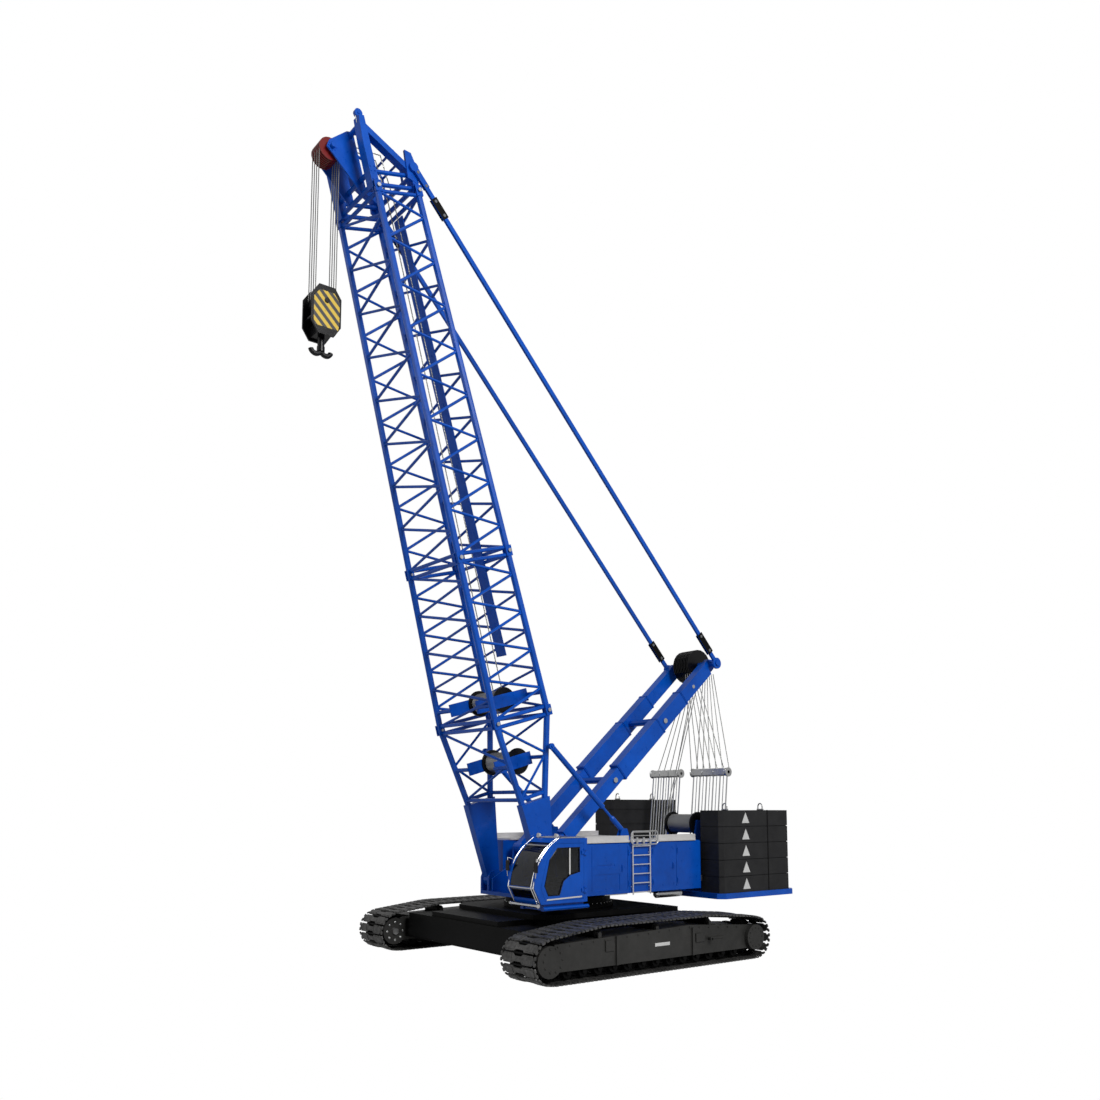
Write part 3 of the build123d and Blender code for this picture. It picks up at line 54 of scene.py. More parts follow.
# %% [markdown]
# ## The camera
# A machine this tall is looked at from the ground, a little below its cab. A lens that tilts up
# would make the boom lean, so the camera stays nearly level and its frame is shifted up instead,
# as on an architect's camera.

# %% Camera
camera_place = Vector((27.077, -21.407, 4.991))
camera_turn = math.radians(52.126)
camera_tilt = math.radians(6.513)
lens_view = Vector((-math.sin(camera_turn) * math.cos(camera_tilt),
                    math.cos(camera_turn) * math.cos(camera_tilt),
                    math.sin(camera_tilt)))
camera_data = bpy.data.cameras.new("camera")
camera_data.sensor_width = 36.0
camera_data.lens = 32.49
camera_data.shift_y = 0.1281
camera_data.clip_end = 500.0
camera = bpy.data.objects.new("camera", camera_data)
camera.location = camera_place
camera.rotation_euler = lens_view.to_track_quat("-Z", "Y").to_euler()
bpy.context.scene.collection.objects.link(camera)
bpy.context.scene.camera = camera
print("camera", round(camera_place.length, 1), "m from the slewing centre")

# %% [markdown]
# ## Sums of sockets
# A finish is a small sum: a base colour, plus some noise, times a mask. Node trees hide such sums,
# so one class wraps a socket and lets Python's own signs add the Math nodes. Everything else comes
# from its method `node`: the kind of node, its settings, and the values or links of its sockets.

# %% Wire
class Wire:
    """A socket of a material, ready to be used in a sum."""

    def __init__(self, tree, socket=None):
        self.tree = tree
        self.socket = socket

    def node(self, kind, settings=None, inputs=None, out=0):
        made = self.tree.nodes.new(kind)
        for name, value in (settings or {}).items():
            if name == "stops":
                stops = made.color_ramp.elements
                while len(stops) < len(value):
                    stops.new(0.5)
                for stop, (place, colour) in zip(stops, value):
                    stop.position = place
                    stop.color = (*colour, 1.0)
            else:
                setattr(made, name, value)
        for name, value in (inputs or {}).items():
            if isinstance(value, Wire):
                self.tree.links.new(value.socket, made.inputs[name])
            else:
                made.inputs[name].default_value = value
        return Wire(self.tree, made.outputs[out])

    def maths(self, operation, *values):
        return self.node("ShaderNodeMath", {"operation": operation}, dict(enumerate(values)))

    def __add__(self, other):
        return self.maths("ADD", self, other)

    def __radd__(self, other):
        return self.maths("ADD", other, self)

    def __sub__(self, other):
        return self.maths("SUBTRACT", self, other)

    def __rsub__(self, other):
        return self.maths("SUBTRACT", other, self)

    def __mul__(self, other):
        return self.maths("MULTIPLY", self, other)

    def __rmul__(self, other):
        return self.maths("MULTIPLY", other, self)

    def __gt__(self, other):
        return self.maths("GREATER_THAN", self, other)

    def mix(self, low, high):
        """Between two colours by this value."""
        pair = [c if isinstance(c, Wire) else (*c, 1.0) for c in (low, high)]
        return self.node("ShaderNodeMix", {"data_type": "RGBA"}, {0: self, 6: pair[0], 7: pair[1]}, 2)


print("signs ready:", ", ".join(n for n in vars(Wire) if n.startswith("__r")))

# %% [markdown]
# ## A finish
# Each finish is one Principled shader. What is the same all over goes straight on the shader, and
# only what changes over the surface is linked. Noise is read in the frame's own metres, so that a
# blotch on the boom is as large as one on the house.

# %% Finish
def finish(name, varies, plain):
    """varies gets a Wire and the place on the surface, and returns the sockets that change."""
    material = bpy.data.materials.new(name)
    material.use_nodes = True
    tree = material.node_tree
    shader = tree.nodes["Principled BSDF"]
    for socket, value in plain.items():
        shader.inputs[socket].default_value = value
    wire = Wire(tree)
    place = wire.node("ShaderNodeTexCoord", out=3)
    for socket, value in varies(wire, place).items():
        tree.links.new(value.socket, shader.inputs[socket])
    return material


def noise(wire, place, scale, detail=3.0, rough=0.55):
    return wire.node("ShaderNodeTexNoise", {}, {"Vector": place, "Scale": scale, "Detail": detail,
                                                "Roughness": rough})


def bump(wire, height, strength, distance):
    return wire.node("ShaderNodeBump", {}, {"Height": height, "Strength": strength, "Distance": distance})


# %% [markdown]
# ## Paint, iron and steel
# The superstructure is sprayed royal blue under clear lacquer: the tone drifts a little from panel
# to panel and the lacquer ripples slightly. The undercarriage is black paint on rough castings, and
# the shoes are bare steel worn brighter where they roll. The weights are cast blocks, so their
# bump is coarse. Rods and ropes are bright metal, and the panes are dark glass.

# %% Paints
def painted(name, low, high, rough, coat, ripple, shine=0.25):
    """Sprayed paint between two near tones, with a ripple of the given height in metres."""
    def varies(wire, place):
        drift = noise(wire, place, 0.6)
        cloud = noise(wire, place, 5.0)
        skin = noise(wire, place, 45.0, 2.0)
        tone = drift * 0.7 + cloud * 0.3
        return {"Base Color": ((tone - 0.3) * 2.5).mix(low, high),
                "Roughness": cloud * 0.16 + (rough - 0.08),
                "Normal": bump(wire, skin, 0.25, ripple)}
    return finish(name, varies, {"Coat Weight": coat, "Coat Roughness": 0.12, "Specular IOR Level": shine})


# Each line: name, darker and lighter tone, roughness, coat weight, height of the ripple.
blue_paint = painted("royal blue paint", (0.0004, 0.064, 0.40), (0.0008, 0.104, 0.62), 0.30, 0.10, 0.004)
black_paint = painted("black frame paint", (0.002, 0.002, 0.002), (0.006, 0.006, 0.006),
                      0.50, 0.0, 0.006, 0.08)
gloss_black = painted("gloss black paint", (0.002, 0.002, 0.003), (0.006, 0.006, 0.007), 0.26, 0.05, 0.003)
# A lighter copy of the black frame paint for the track frames: painted light, as if they were lit more than
# the car body.
lit_frame_paint = painted("lit copy of black frame paint", (0.020, 0.020, 0.019), (0.046, 0.045, 0.043), 0.40, 0.0, 0.006)
grey_paint = painted("grey paint", (0.13, 0.14, 0.15), (0.18, 0.19, 0.20), 0.35, 0.2, 0.003)
white_paint = painted("white paint", (0.62, 0.62, 0.61), (0.74, 0.74, 0.73), 0.38, 0.2, 0.002)
red_paint = painted("dark red paint", (0.16, 0.010, 0.008), (0.24, 0.014, 0.012), 0.30, 0.4, 0.003)
print("paints:", blue_paint.name, black_paint.name, red_paint.name)

# %% Castings and bare steel
def cast(name, low, high, grain, height):
    def varies(wire, place):
        mottle = noise(wire, place, 2.2, 5.0)
        pits = noise(wire, place, grain, 5.0, 0.7)
        return {"Base Color": ((mottle * 0.6 + pits * 0.4 - 0.3) * 2.5).mix(low, high),
                "Roughness": pits * 0.3 + 0.42,
                "Normal": bump(wire, pits, 0.6, height)}
    return finish(name, varies, {"Specular IOR Level": 0.25})


def bright(name, low, high, rough, grain):
    def varies(wire, place):
        wear = noise(wire, place, grain, 4.0)
        return {"Base Color": wear.mix(low, high),
                "Roughness": wear * 0.2 + (rough - 0.1),
                "Normal": bump(wire, wear, 0.1, 0.002)}
    return finish(name, varies, {"Metallic": 1.0})


weight_iron = cast("cast weights", (0.009, 0.009, 0.010), (0.024, 0.024, 0.025), 28.0, 0.008)
engine_iron = cast("engine casting", (0.10, 0.10, 0.10), (0.20, 0.20, 0.19), 30.0, 0.006)
chrome = bright("bright steel", (0.62, 0.63, 0.64), (0.80, 0.80, 0.80), 0.24, 8.0)
satin = bright("satin steel", (0.55, 0.56, 0.56), (0.74, 0.74, 0.73), 0.30, 12.0)
print("castings and steels:", weight_iron.name, chrome.name)

# %% Shoes, rope, tread plate and glass
def shoe_steel(wire, place):
    scuff = noise(wire, place, 9.0, 6.0, 0.7)
    patch = noise(wire, place, 1.3)
    worn = ((scuff * 0.6 + patch * 0.4) - 0.36) * 3.2
    return {"Base Color": worn.mix((0.020, 0.020, 0.020), (0.150, 0.147, 0.142)),
            "Roughness": 0.62 - scuff * 0.3,
            "Normal": bump(wire, scuff, 0.5, 0.006)}


def rope_lay(wire, place):
    """Strands wound round the rope: bands that lean across its length."""
    bands = wire.node("ShaderNodeTexWave", {"bands_direction": "DIAGONAL"},
                      {"Vector": place, "Scale": 9.0, "Distortion": 0.4})
    return {"Base Color": bands.mix((0.16, 0.16, 0.155), (0.50, 0.50, 0.48)),
            "Roughness": 0.42 - bands * 0.1,
            "Normal": bump(wire, bands, 0.8, 0.006)}


def tread(wire, place):
    """Raised lozenges pressed in a pale sheet."""
    turned = wire.node("ShaderNodeMapping", {}, {"Vector": place, "Rotation": (0.0, 0.0, math.radians(45))})
    grid = wire.node("ShaderNodeTexBrick", {"offset": 0.5}, {
        "Vector": turned, "Scale": 14.0, "Mortar Size": 0.06, "Mortar Smooth": 0.6,
        "Color1": (1, 1, 1, 1), "Color2": (1, 1, 1, 1), "Mortar": (0, 0, 0, 1)})
    dust = noise(wire, place, 3.0)
    return {"Base Color": dust.mix((0.66, 0.65, 0.64), (0.84, 0.82, 0.81)),
            "Roughness": dust * 0.2 + 0.35,
            "Normal": bump(wire, grid, 0.5, 0.006)}


def dark_glass(wire, place):
    smear = noise(wire, place, 4.0)
    return {"Base Color": smear.mix((0.10, 0.115, 0.13), (0.14, 0.155, 0.17)),
            "Roughness": smear * 0.04 + 0.01}


shoe_finish = finish("worn shoe steel", shoe_steel, {"Metallic": 0.35})
rope_finish = finish("steel wire rope", rope_lay, {"Metallic": 0.8})
tread_finish = finish("tread plate", tread, {"Metallic": 0.25})
pane_finish = finish("dark glass", dark_glass, {"Transmission Weight": 1.0, "IOR": 1.45})
print("shoes, rope, tread and glass ready")

# %% [markdown]
# ## Dressing the frame
# Every node of the frame carries the name of its material slot. A table from slot to finish is all
# that is needed to dress it, and no mesh is touched.

# %% Slots to finishes
slot_finish = {
    "blue_paint": blue_paint, "dark_frame": black_paint, "track_steel": shoe_finish,
    "dark_weight": weight_iron, "cast_engine": engine_iron, "pale_tread": tread_finish,
    "black_drum": gloss_black, "red_sheave": red_paint, "steel_rod": chrome,
    "grey_tube": grey_paint, "cab_pane": pane_finish, "seat_cloth": gloss_black,
}
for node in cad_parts.values():
    for holder in node.material_slots:
        holder.material = slot_finish[holder.material.name.split(".")[0]]
# The track frames take the lighter copy of the black paint, which is painted light.
special = {"hoist_ropes": rope_finish, "backstop_tubes": blue_paint, "backstop_rods": blue_paint,
           "track_frame_left": lit_frame_paint, "track_frame_right": lit_frame_paint}
for name, material in special.items():
    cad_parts[name].material_slots[0].material = material
print("dressed", len(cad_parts), "nodes with", len(slot_finish), "finishes")

# %% [markdown]
# ## One piece from many solids
# Small parts come in dozens: bolts, links, rungs. One object for each would be slow and untidy, so
# a piece gathers its solids in one mesh. Each solid is placed in the frame's metres, and the piece
# then rides on the body that carries it.

# %% Piece
class Piece:
    """Solids gathered in one mesh."""

    def __init__(self, name):
        self.name = name
        self.mesh = bmesh.new()

    def block(self, centre, size, turn=None):
        made = bmesh.ops.create_cube(self.mesh, size=1.0)["verts"]
        matrix = Matrix.Translation(centre) @ (turn or Matrix()).to_4x4() @ Matrix.Diagonal((*size, 1.0))
        bmesh.ops.transform(self.mesh, matrix=matrix, verts=made)
        return self

    def rod(self, start, end, radius, sides=12, tip=None):
        start, end = Vector(start), Vector(end)
        run = end - start
        made = bmesh.ops.create_cone(self.mesh, cap_ends=True, segments=sides, radius1=radius,
                                     radius2=radius if tip is None else tip, depth=run.length)["verts"]
        matrix = Matrix.Translation((start + end) / 2) @ run.to_track_quat("Z", "Y").to_matrix().to_4x4()
        bmesh.ops.transform(self.mesh, matrix=matrix, verts=made)
        return self

    def plate(self, outline, thickness, matrix):
        """An outline in the matrix's X and Y, made as thick as asked along its Z."""
        low = [self.mesh.verts.new(matrix @ Vector((x, y, 0.0))) for x, y in outline]
        high = [self.mesh.verts.new(matrix @ Vector((x, y, thickness))) for x, y in outline]
        self.mesh.faces.new(low[::-1])
        self.mesh.faces.new(high)
        for a in range(len(outline)):
            b = (a + 1) % len(outline)
            self.mesh.faces.new((low[a], low[b], high[b], high[a]))
        return self

    def pipe(self, points, radius, sides=10, closed=False):
        """A tube through the points, mitred at each."""
        points = [Vector(p) for p in points]
        rings = []
        up = None
        for i, here in enumerate(points):
            before = points[i - 1] if (i or closed) else here
            after = points[(i + 1) % len(points)] if (i + 1 < len(points) or closed) else here
            inward = (here - before).normalized() if here != before else (after - here).normalized()
            onward = (after - here).normalized() if after != here else inward
            along = (inward + onward).normalized()
            stretch = 1.0 / max(0.5, inward.dot(along))
            up = (up - along * up.dot(along)) if up else along.orthogonal()
            up.normalize()
            side = along.cross(up)
            bend = onward - inward
            ring = []
            for k in range(sides):
                angle = math.tau * k / sides
                spoke = up * math.cos(angle) + side * math.sin(angle)
                if bend.length > 1e-4:
                    axis = (bend - along * bend.dot(along)).normalized()
                    spoke += axis * spoke.dot(axis) * (stretch - 1.0)
                ring.append(self.mesh.verts.new(here + spoke * radius))
            rings.append(ring)
        joints = list(zip(rings, rings[1:])) + ([(rings[-1], rings[0])] if closed else [])
        for first, second in joints:
            for k in range(sides):
                n = (k + 1) % sides
                self.mesh.faces.new((first[k], first[n], second[n], second[k]))
        if not closed:
            self.mesh.faces.new(rings[0][::-1])
            self.mesh.faces.new(rings[-1])
        return self

    def lathe(self, profile, origin, axis, sides=32):
        """A closed profile of (along, radius) pairs turned about an axis."""
        axis = Vector(axis).normalized()
        up = axis.orthogonal().normalized()
        side = axis.cross(up)
        rings = []
        for k in range(sides):
            angle = math.tau * k / sides
            spoke = up * math.cos(angle) + side * math.sin(angle)
            rings.append([self.mesh.verts.new(Vector(origin) + axis * a + spoke * r) for a, r in profile])
        for k in range(sides):
            first, second = rings[k], rings[(k + 1) % sides]
            for a in range(len(profile)):
                b = (a + 1) % len(profile)
                self.mesh.faces.new((first[a], first[b], second[b], second[a]))
        return self

    def bolts(self, places, along, size=0.05, height=0.03):
        """Hexagon heads on washers."""
        along = Vector(along).normalized()
        for place in places:
            place = Vector(place)
            self.rod(place - along * 0.004, place + along * height * 0.3, size * 0.75, 12)
            self.rod(place, place + along * height, size * 0.55, 6)
        return self

    def ride(self, body, material, slot, edge=0.0, hides=(), corner=35):
        bmesh.ops.recalc_face_normals(self.mesh, faces=self.mesh.faces)
        data = bpy.data.meshes.new(self.name)
        self.mesh.to_mesh(data)
        self.mesh.free()
        data.materials.append(material)
        data.shade_smooth()
        data.set_sharp_from_angle(angle=math.radians(corner))
        made = bpy.data.objects.new(self.name, data)
        bpy.context.scene.collection.objects.link(made)
        if edge:
            soft = made.modifiers.new("rounded edges", "BEVEL")
            soft.width = edge
            soft.segments = 2
            soft.limit_method = "ANGLE"
            soft.harden_normals = True
        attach(made, body)
        if hides:
            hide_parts(*hides)
        print(self.name, "has", len(data.polygons), "faces and rides on", body)
        return made


# %% Directions
across = Vector((1, 0, 0))


def turn_to(along):
    """The turn that lays Z along a direction and keeps X across the machine."""
    return Matrix((across, along.cross(across), along)).transposed()


def facing(side):
    """The turn that stands an outline up against the left (1) or right (-1) side."""
    return Matrix(((0, 0, side), (1, 0, 0), (0, 1, 0))).to_4x4()


def ring_places(x, y, z, radius, count):
    return [(x, y + radius * math.cos(math.tau * k / count), z + radius * math.sin(math.tau * k / count))
            for k in range(count)]


print("across is", tuple(across))

# %% [markdown]
# ## Light and floor
# A studio for a black and blue machine: a broad soft lamp high on the camera's right, a weaker one
# on the left, and a pale room all round. The floor and the sky are white to the camera, a quarter as
# bright in reflections, and give the machine only a little light, so the floor shows no shadow.

# %% World, lamps and floor
glossy_share = 0.25     # how bright the white room is in a reflection
room_light = 0.22       # how bright it is as a lamp


def white_share(wire):
    """One for what the camera sees, itself or through glass, and less in reflections."""
    camera_ray, glossy_ray, glass_ray = [
        wire.node("ShaderNodeLightPath", out=name)
        for name in ("Is Camera Ray", "Is Glossy Ray", "Is Transmission Ray")]
    return wire.maths("MAXIMUM", wire.maths("MAXIMUM", camera_ray, glossy_ray * glossy_share), glass_ray)


world = bpy.data.worlds.new("studio")
bpy.context.scene.world = world
world.use_nodes = True
sky = Wire(world.node_tree)
backdrop = world.node_tree.nodes["Background"]
backdrop.inputs["Color"].default_value = (1.0, 1.0, 1.0, 1.0)
strength = white_share(sky) * (1.0 - room_light) + room_light
world.node_tree.links.new(strength.socket, backdrop.inputs["Strength"])

lamp_table = (      # name, place, width in metres, watts
    ("key lamp", (46.0, -4.0, 34.0), 18.0, 17000.0),
    ("fill lamp", (-10.0, -44.0, 24.0), 20.0, 2600.0),
)
lit_place = Vector((0, 0, 8.0))
for name, place, size, power in lamp_table:
    lamp = bpy.data.lights.new(name, "AREA")
    lamp.size = size
    lamp.energy = power
    holder = bpy.data.objects.new(name, lamp)
    holder.location = place
    holder.rotation_euler = (lit_place - Vector(place)).to_track_quat("-Z", "Y").to_euler()
    bpy.context.scene.collection.objects.link(holder)

floor_data = bpy.data.meshes.new("floor")
far = 300.0
floor_corners = [(-far, -far, 0), (far, -far, 0), (far, far, 0), (-far, far, 0)]
floor_data.from_pydata(floor_corners, [], [(0, 1, 2, 3)])
floor = bpy.data.objects.new("floor", floor_data)
bpy.context.scene.collection.objects.link(floor)
floor_finish = bpy.data.materials.new("pale floor")
floor_finish.use_nodes = True
nodes = floor_finish.node_tree
ground = Wire(nodes)
matt = ground.node("ShaderNodeBsdfDiffuse", {}, {"Color": (0.55, 0.55, 0.55, 1.0)})
glow = ground.node("ShaderNodeEmission", {}, {"Color": (1.0, 1.0, 1.0, 1.0), "Strength": 1.0})
blend = ground.node("ShaderNodeMixShader", {}, {0: white_share(ground), 1: matt, 2: glow})
nodes.links.new(blend.socket, nodes.nodes["Material Output"].inputs["Surface"])
floor_data.materials.append(floor_finish)
bpy.context.scene.view_settings.view_transform = "Standard"
print("studio set")

# %% [markdown]
# ## The tracks
# The frame has each track as one closed belt. Real belts are cast shoes pinned nose to tail, with
# open joints between them and toothed ends, and they catch the light shoe by shoe. The shoe is made
# once as outlines and repeated along the same loop: round the idler, under the rollers, round the
# sprocket and back over the top rollers.

# %% The loop of link pins
idler = (-4.22, 0.66)       # y and z of the idler's axle
sprocket = (4.22, 0.69)     # and of the sprocket's
track_x = 4.3               # middle of a track
shoe_count = 66
belt_rounds = (             # y, z, radius of the pin line
    (*idler, 0.59), (*sprocket, 0.62), (2.3, 1.27, 0.2), (-2.3, 1.27, 0.2),
)


def belt_pins():
    normals, runs = [], []
    for i, (y, z, r) in enumerate(belt_rounds):
        y2, z2, r2 = belt_rounds[(i + 1) % 4]
        heading = math.atan2(z2 - z, y2 - y)
        normals.append(heading - math.acos((r - r2) / math.hypot(y2 - y, z2 - z)))
    for i, (y, z, r) in enumerate(belt_rounds):
        y2, z2, r2 = belt_rounds[(i + 1) % 4]
        arc = (normals[i] - normals[i - 1]) % math.tau
        steps = max(1, round(arc * 40))
        runs += [(y + r * math.cos(normals[i - 1] + arc * k / steps),
                  z + r * math.sin(normals[i - 1] + arc * k / steps)) for k in range(steps + 1)]
    runs.append(runs[0])
    total = sum(math.dist(a, b) for a, b in zip(runs, runs[1:]))
    pins, gone, k = [], 0.0, 0
    for step in range(shoe_count):
        want = total * step / shoe_count
        while gone + math.dist(runs[k], runs[k + 1]) < want:
            gone += math.dist(runs[k], runs[k + 1])
            k += 1
        share = (want - gone) / max(1e-9, math.dist(runs[k], runs[k + 1]))
        pins.append(tuple(a + share * (b - a) for a, b in zip(runs[k], runs[k + 1])))
    return pins


pins = belt_pins()
pitch = math.dist(pins[3], pins[4])
print("link pins every", round(pitch, 3), "m")

# %% Shoes
half_shoe = 0.81


def shoe_outline(length):
    """Seen from outside: a long plate with two teeth at each end and a waist in the middle."""
    h, w = length / 2, half_shoe
    quarter = [(0.16, h * 0.55), (0.24, h), (w - 0.17, h), (w - 0.15, h * 0.72), (w - 0.07, h * 0.72),
               (w - 0.05, h), (w - 0.012, h), (w, h * 0.8), (w, h * 0.28), (w - 0.06, h * 0.18)]
    right = quarter + [(x, -y) for x, y in reversed(quarter)]
    return [(x, y) for x, y in right] + [(-x, -y) for x, y in right]


for side, name in ((1, "left"), (-1, "right")):
    belt = Piece(f"shoes_{name}")
    links = Piece(f"links_{name}")
    for i, pin in enumerate(pins):
        ahead_pin = pins[(i + 1) % shoe_count]
        middle = Vector((side * track_x, (pin[0] + ahead_pin[0]) / 2, (pin[1] + ahead_pin[1]) / 2))
        ahead = Vector((0, ahead_pin[0] - pin[0], ahead_pin[1] - pin[1])).normalized()
        out = Vector((0, ahead.z, -ahead.y))
        turn = Matrix((across, ahead, out)).transposed().to_4x4()
        seat = Matrix.Translation(middle + out * 0.018) @ turn
        belt.plate(shoe_outline(pitch - 0.036), 0.040, seat)
        for x in (-0.5, 0.5):
            belt.block(middle + Vector((x, 0, 0)) + out * 0.064, (0.44, pitch * 0.62, 0.012), turn)
        for x in (-0.27, 0.27):
            links.block(middle + Vector((x, 0, 0)) - out * 0.02, (0.10, pitch * 0.96, 0.075), turn)
        start = Vector((side * track_x, *pin))
        links.rod(start - Vector((0.36, 0, 0)), start + Vector((0.36, 0, 0)), 0.035, 8)
    belt.ride("undercarriage", shoe_finish, "track_steel", hides=(f"track_{name}",), corner=20)
    links.ride("undercarriage", black_paint, "track_steel", corner=20)

# %% [markdown]
# ## Track frames
# The side frames are box girders. What gives them their scale is the ironwork: bolted covers over
# the idler and the final drive, a row of bolts under the top edge, stiffening brackets, a tie-down
# peg and a bare plate where a maker would put a name.

# %% Ironwork on the side frames
for side, name in ((1, "left"), (-1, "right")):
    iron = Piece(f"frame_iron_{name}")
    face = side * 4.93
    out = (side, 0, 0)
    iron.bolts(ring_places(side * 4.99, -4.12, 0.7, 0.33, 10), out, 0.05, 0.03)
    iron.bolts(ring_places(side * 5.08, *sprocket, 0.30, 12), out, 0.05, 0.02)
    tops = ((-3.9, 1.04), (1.3, 1.20), (3.9, 1.03))
    for (y0, z0), (y1, z1) in zip(tops, tops[1:]):
        many = round((y1 - y0) / 0.42)
        iron.bolts([(face, y0 + (y1 - y0) * k / many, z0 + (z1 - z0) * k / many) for k in range(many)],
                   out, 0.045, 0.025)
    for y, z, w, h in ((-2.0, 0.92, 0.34, 0.30), (1.75, 0.86, 0.40, 0.26)):
        iron.plate([(-w / 2, -h / 2), (w / 2, -h / 2), (w / 2, h * 0.2), (w * 0.2, h / 2), (-w / 2, h / 2)],
                   0.045, Matrix.Translation((face, y, z)) @ facing(side))
    iron.rod((face, 2.15, 0.80), (face + side * 0.16, 2.15, 0.80), 0.05, 12)
    iron.rod((face + side * 0.13, 2.15, 0.80), (face + side * 0.16, 2.15, 0.80), 0.075, 12)
    iron.block((face + side * 0.012, 2.55, 0.80), (0.03, 0.50, 0.07))
    # The ironwork takes the same lighter copy of the black paint, which is painted light.
    iron.ride("undercarriage", lit_frame_paint, "dark_frame", edge=0.006)
    Piece(f"bare_plate_{name}").block((face + side * 0.008, 0.12, 0.79), (0.016, 0.62, 0.10)).ride(
        "undercarriage", white_paint, "pale_tread", edge=0.004)

# %% [markdown]
# ## Ropes
# Every rope on a standing crane is drawn straight by its load. Each fall is a round tube, and a
# whole tackle is one piece: twelve falls from the mast head to the near block, four to the far one,
# and the hoist rope from the drums to the head. The hook's own falls replace the frame's square ones.

# %% The luffing tackle's falls
mast_low, mast_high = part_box("mast_head_sheaves")
mast_head = (mast_low + mast_high) / 2
foot = Vector((0, 5.95, 3.26))
link_up = (Vector((0, mast_head.y, mast_head.z)) - foot).normalized()
block_middle = foot + link_up * 2.93
near_x, near_half = 1.30, 0.84      # middle and half width of the near block
far_x, far_half = -1.015, 0.73      # and of the far one
thin_rope = 0.016
falls = Piece("luffing_falls")
for k in range(6):
    spread = (k - 2.5) / 2.5
    for back in (-1, 1):
        low = Vector((near_x + spread * near_half, block_middle.y + back * 0.13, block_middle.z + 0.02))
        high = Vector((0.40 + spread * 0.26, mast_head.y + back * 0.50, mast_head.z - 0.32))
        falls.pipe([low, high], thin_rope, 8)
for k, offset in enumerate((-0.5, -0.17, 0.17, 0.5)):
    low = Vector((far_x + offset, block_middle.y, block_middle.z + 0.05))
    high = Vector((-0.28 - 0.12 * (3 - k), mast_head.y + 0.42, mast_head.z - 0.36))
    falls.pipe([low, high], thin_rope, 8)
falls.ride("tackle_links", rope_finish, "steel_rod")
rods = Piece("tackle_rods")
link_turn = turn_to(link_up)
for x_middle, half in ((near_x, near_half), (far_x, far_half)):
    for k in range(5):
        x = x_middle + half * (2 * k - 4) / 5
        rods.rod(Vector((x, foot.y, foot.z)), Vector((x, block_middle.y, block_middle.z)), 0.018, 8)
    here = Vector((x_middle, block_middle.y, block_middle.z))
    for part in (-0.66, 0.0, 0.66):
        middle = here + across * part * half
        for back in (-0.155, 0.155):
            rods.block(middle + link_turn @ Vector((0, back, 0)), (half * 0.62, 0.016, 0.23), link_turn)
    for x in (-half - 0.055, half + 0.055):
        rods.rod(here + across * (x - 0.015), here + across * (x + 0.015), 0.17, 24)
rods.ride("tackle_links", satin, "steel_rod", edge=0.004)

# %% Rope to the luffing drum and the hoist ropes up the boom
drum_low, drum_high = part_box("luffing_winch")
drum = (drum_low + drum_high) / 2
lead = Piece("luffing_lead")
for x in (-0.06, 0.06):
    lead.pipe([(0.08 + x, drum.y + 0.26, drum.z + 0.12), (0.16 + x, mast_head.y + 0.1, mast_head.z - 0.65)],
              thin_rope, 8)
lead.ride("upperworks", rope_finish, "steel_rod")

# The boom's own axes: it turns about a pin at its foot and stands at 74.3 degrees.
boom_pin = Vector((0, -1.68, 2.45))
boom_lean = math.radians(74.3)
boom_up = Vector((0, -math.cos(boom_lean), math.sin(boom_lean)))
boom_back = Vector((0, math.sin(boom_lean), math.cos(boom_lean)))


def on_boom(x, n, t):
    """A point in the boom's own sizes: n towards its back, t up its length."""
    return boom_pin + boom_up * t + boom_back * n + across * x


boom_turn = Matrix((across, boom_back, boom_up)).transposed()
winch_n = 0.52              # how far back the two winches sit
winch_ts = (3.95, 6.0)      # and how far up
hoist = Piece("hoist_leads")
for x, t in zip((-0.28, 0.26), winch_ts):
    hoist.pipe([on_boom(x, winch_n + 0.33, t), on_boom(x * 0.6, 0.93, 22.6), on_boom(x * 0.6, 0.80, 24.0),
                on_boom(x * 0.3, -0.20, 24.22)], 0.018, 8)
hoist.ride("boom", rope_finish, "steel_rod")

# %% Rope wound on the drums
def winding(piece, x_from, x_to, y, z, inner, rope):
    """Turns of rope side by side: one half round for each, turned about the drum."""
    turns = int((x_to - x_from) / (2 * rope))
    profile = [(0.0, inner)]
    for k in range(turns):
        for step in range(4):
            angle = math.pi * (1 - (step + 0.5) / 4)
            profile.append(((2 * k + 1 + math.cos(angle)) * rope, inner + rope * (0.4 + math.sin(angle))))
    profile.append((turns * 2 * rope, inner))
    return piece.lathe(profile, (x_from + (x_to - x_from - turns * 2 * rope) / 2, y, z), (1, 0, 0), 40)


wound = Piece("hoist_windings")
for t in winch_ts:
    axle = on_boom(0.0, winch_n, t)
    winding(wound, -0.695, 0.695, axle.y, axle.z, 0.305, 0.018)
wound.ride("boom", rope_finish, "steel_rod", corner=60)
winding(Piece("luffing_winding"), drum_low.x + 0.055, drum_high.x - 0.055, drum.y, drum.z, 0.305, 0.021).ride(
    "upperworks", rope_finish, "steel_rod", corner=60)

# %% The hook's falls
head_low, head_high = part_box("boom_head_sheaves")
head_shaft = (head_low + head_high) / 2
rope_low, rope_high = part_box("hoist_ropes")
hook_rope = 0.017
hook_falls = Piece("hook_falls")
for x in (-0.24, -0.08, 0.08, 0.24):
    for y in (rope_low.y + hook_rope, rope_high.y - hook_rope):
        hook_falls.pipe([(x, y, rope_low.z), (x, y, rope_high.z)], hook_rope, 8)
hook_falls.ride("hook_tackle", rope_finish, "steel_rod", hides=("hoist_ropes",))

# %% [markdown]
# ## Boom fittings
# The boom comes apart for the road, so each section ends in lugs with a cross pin at every corner.
# Its head has rope loops over the posts and bolts round its pins, and each pendant starts with a
# short train of link plates.

# %% Section joints
section_ts = (5.4, 10.7, 22.35)


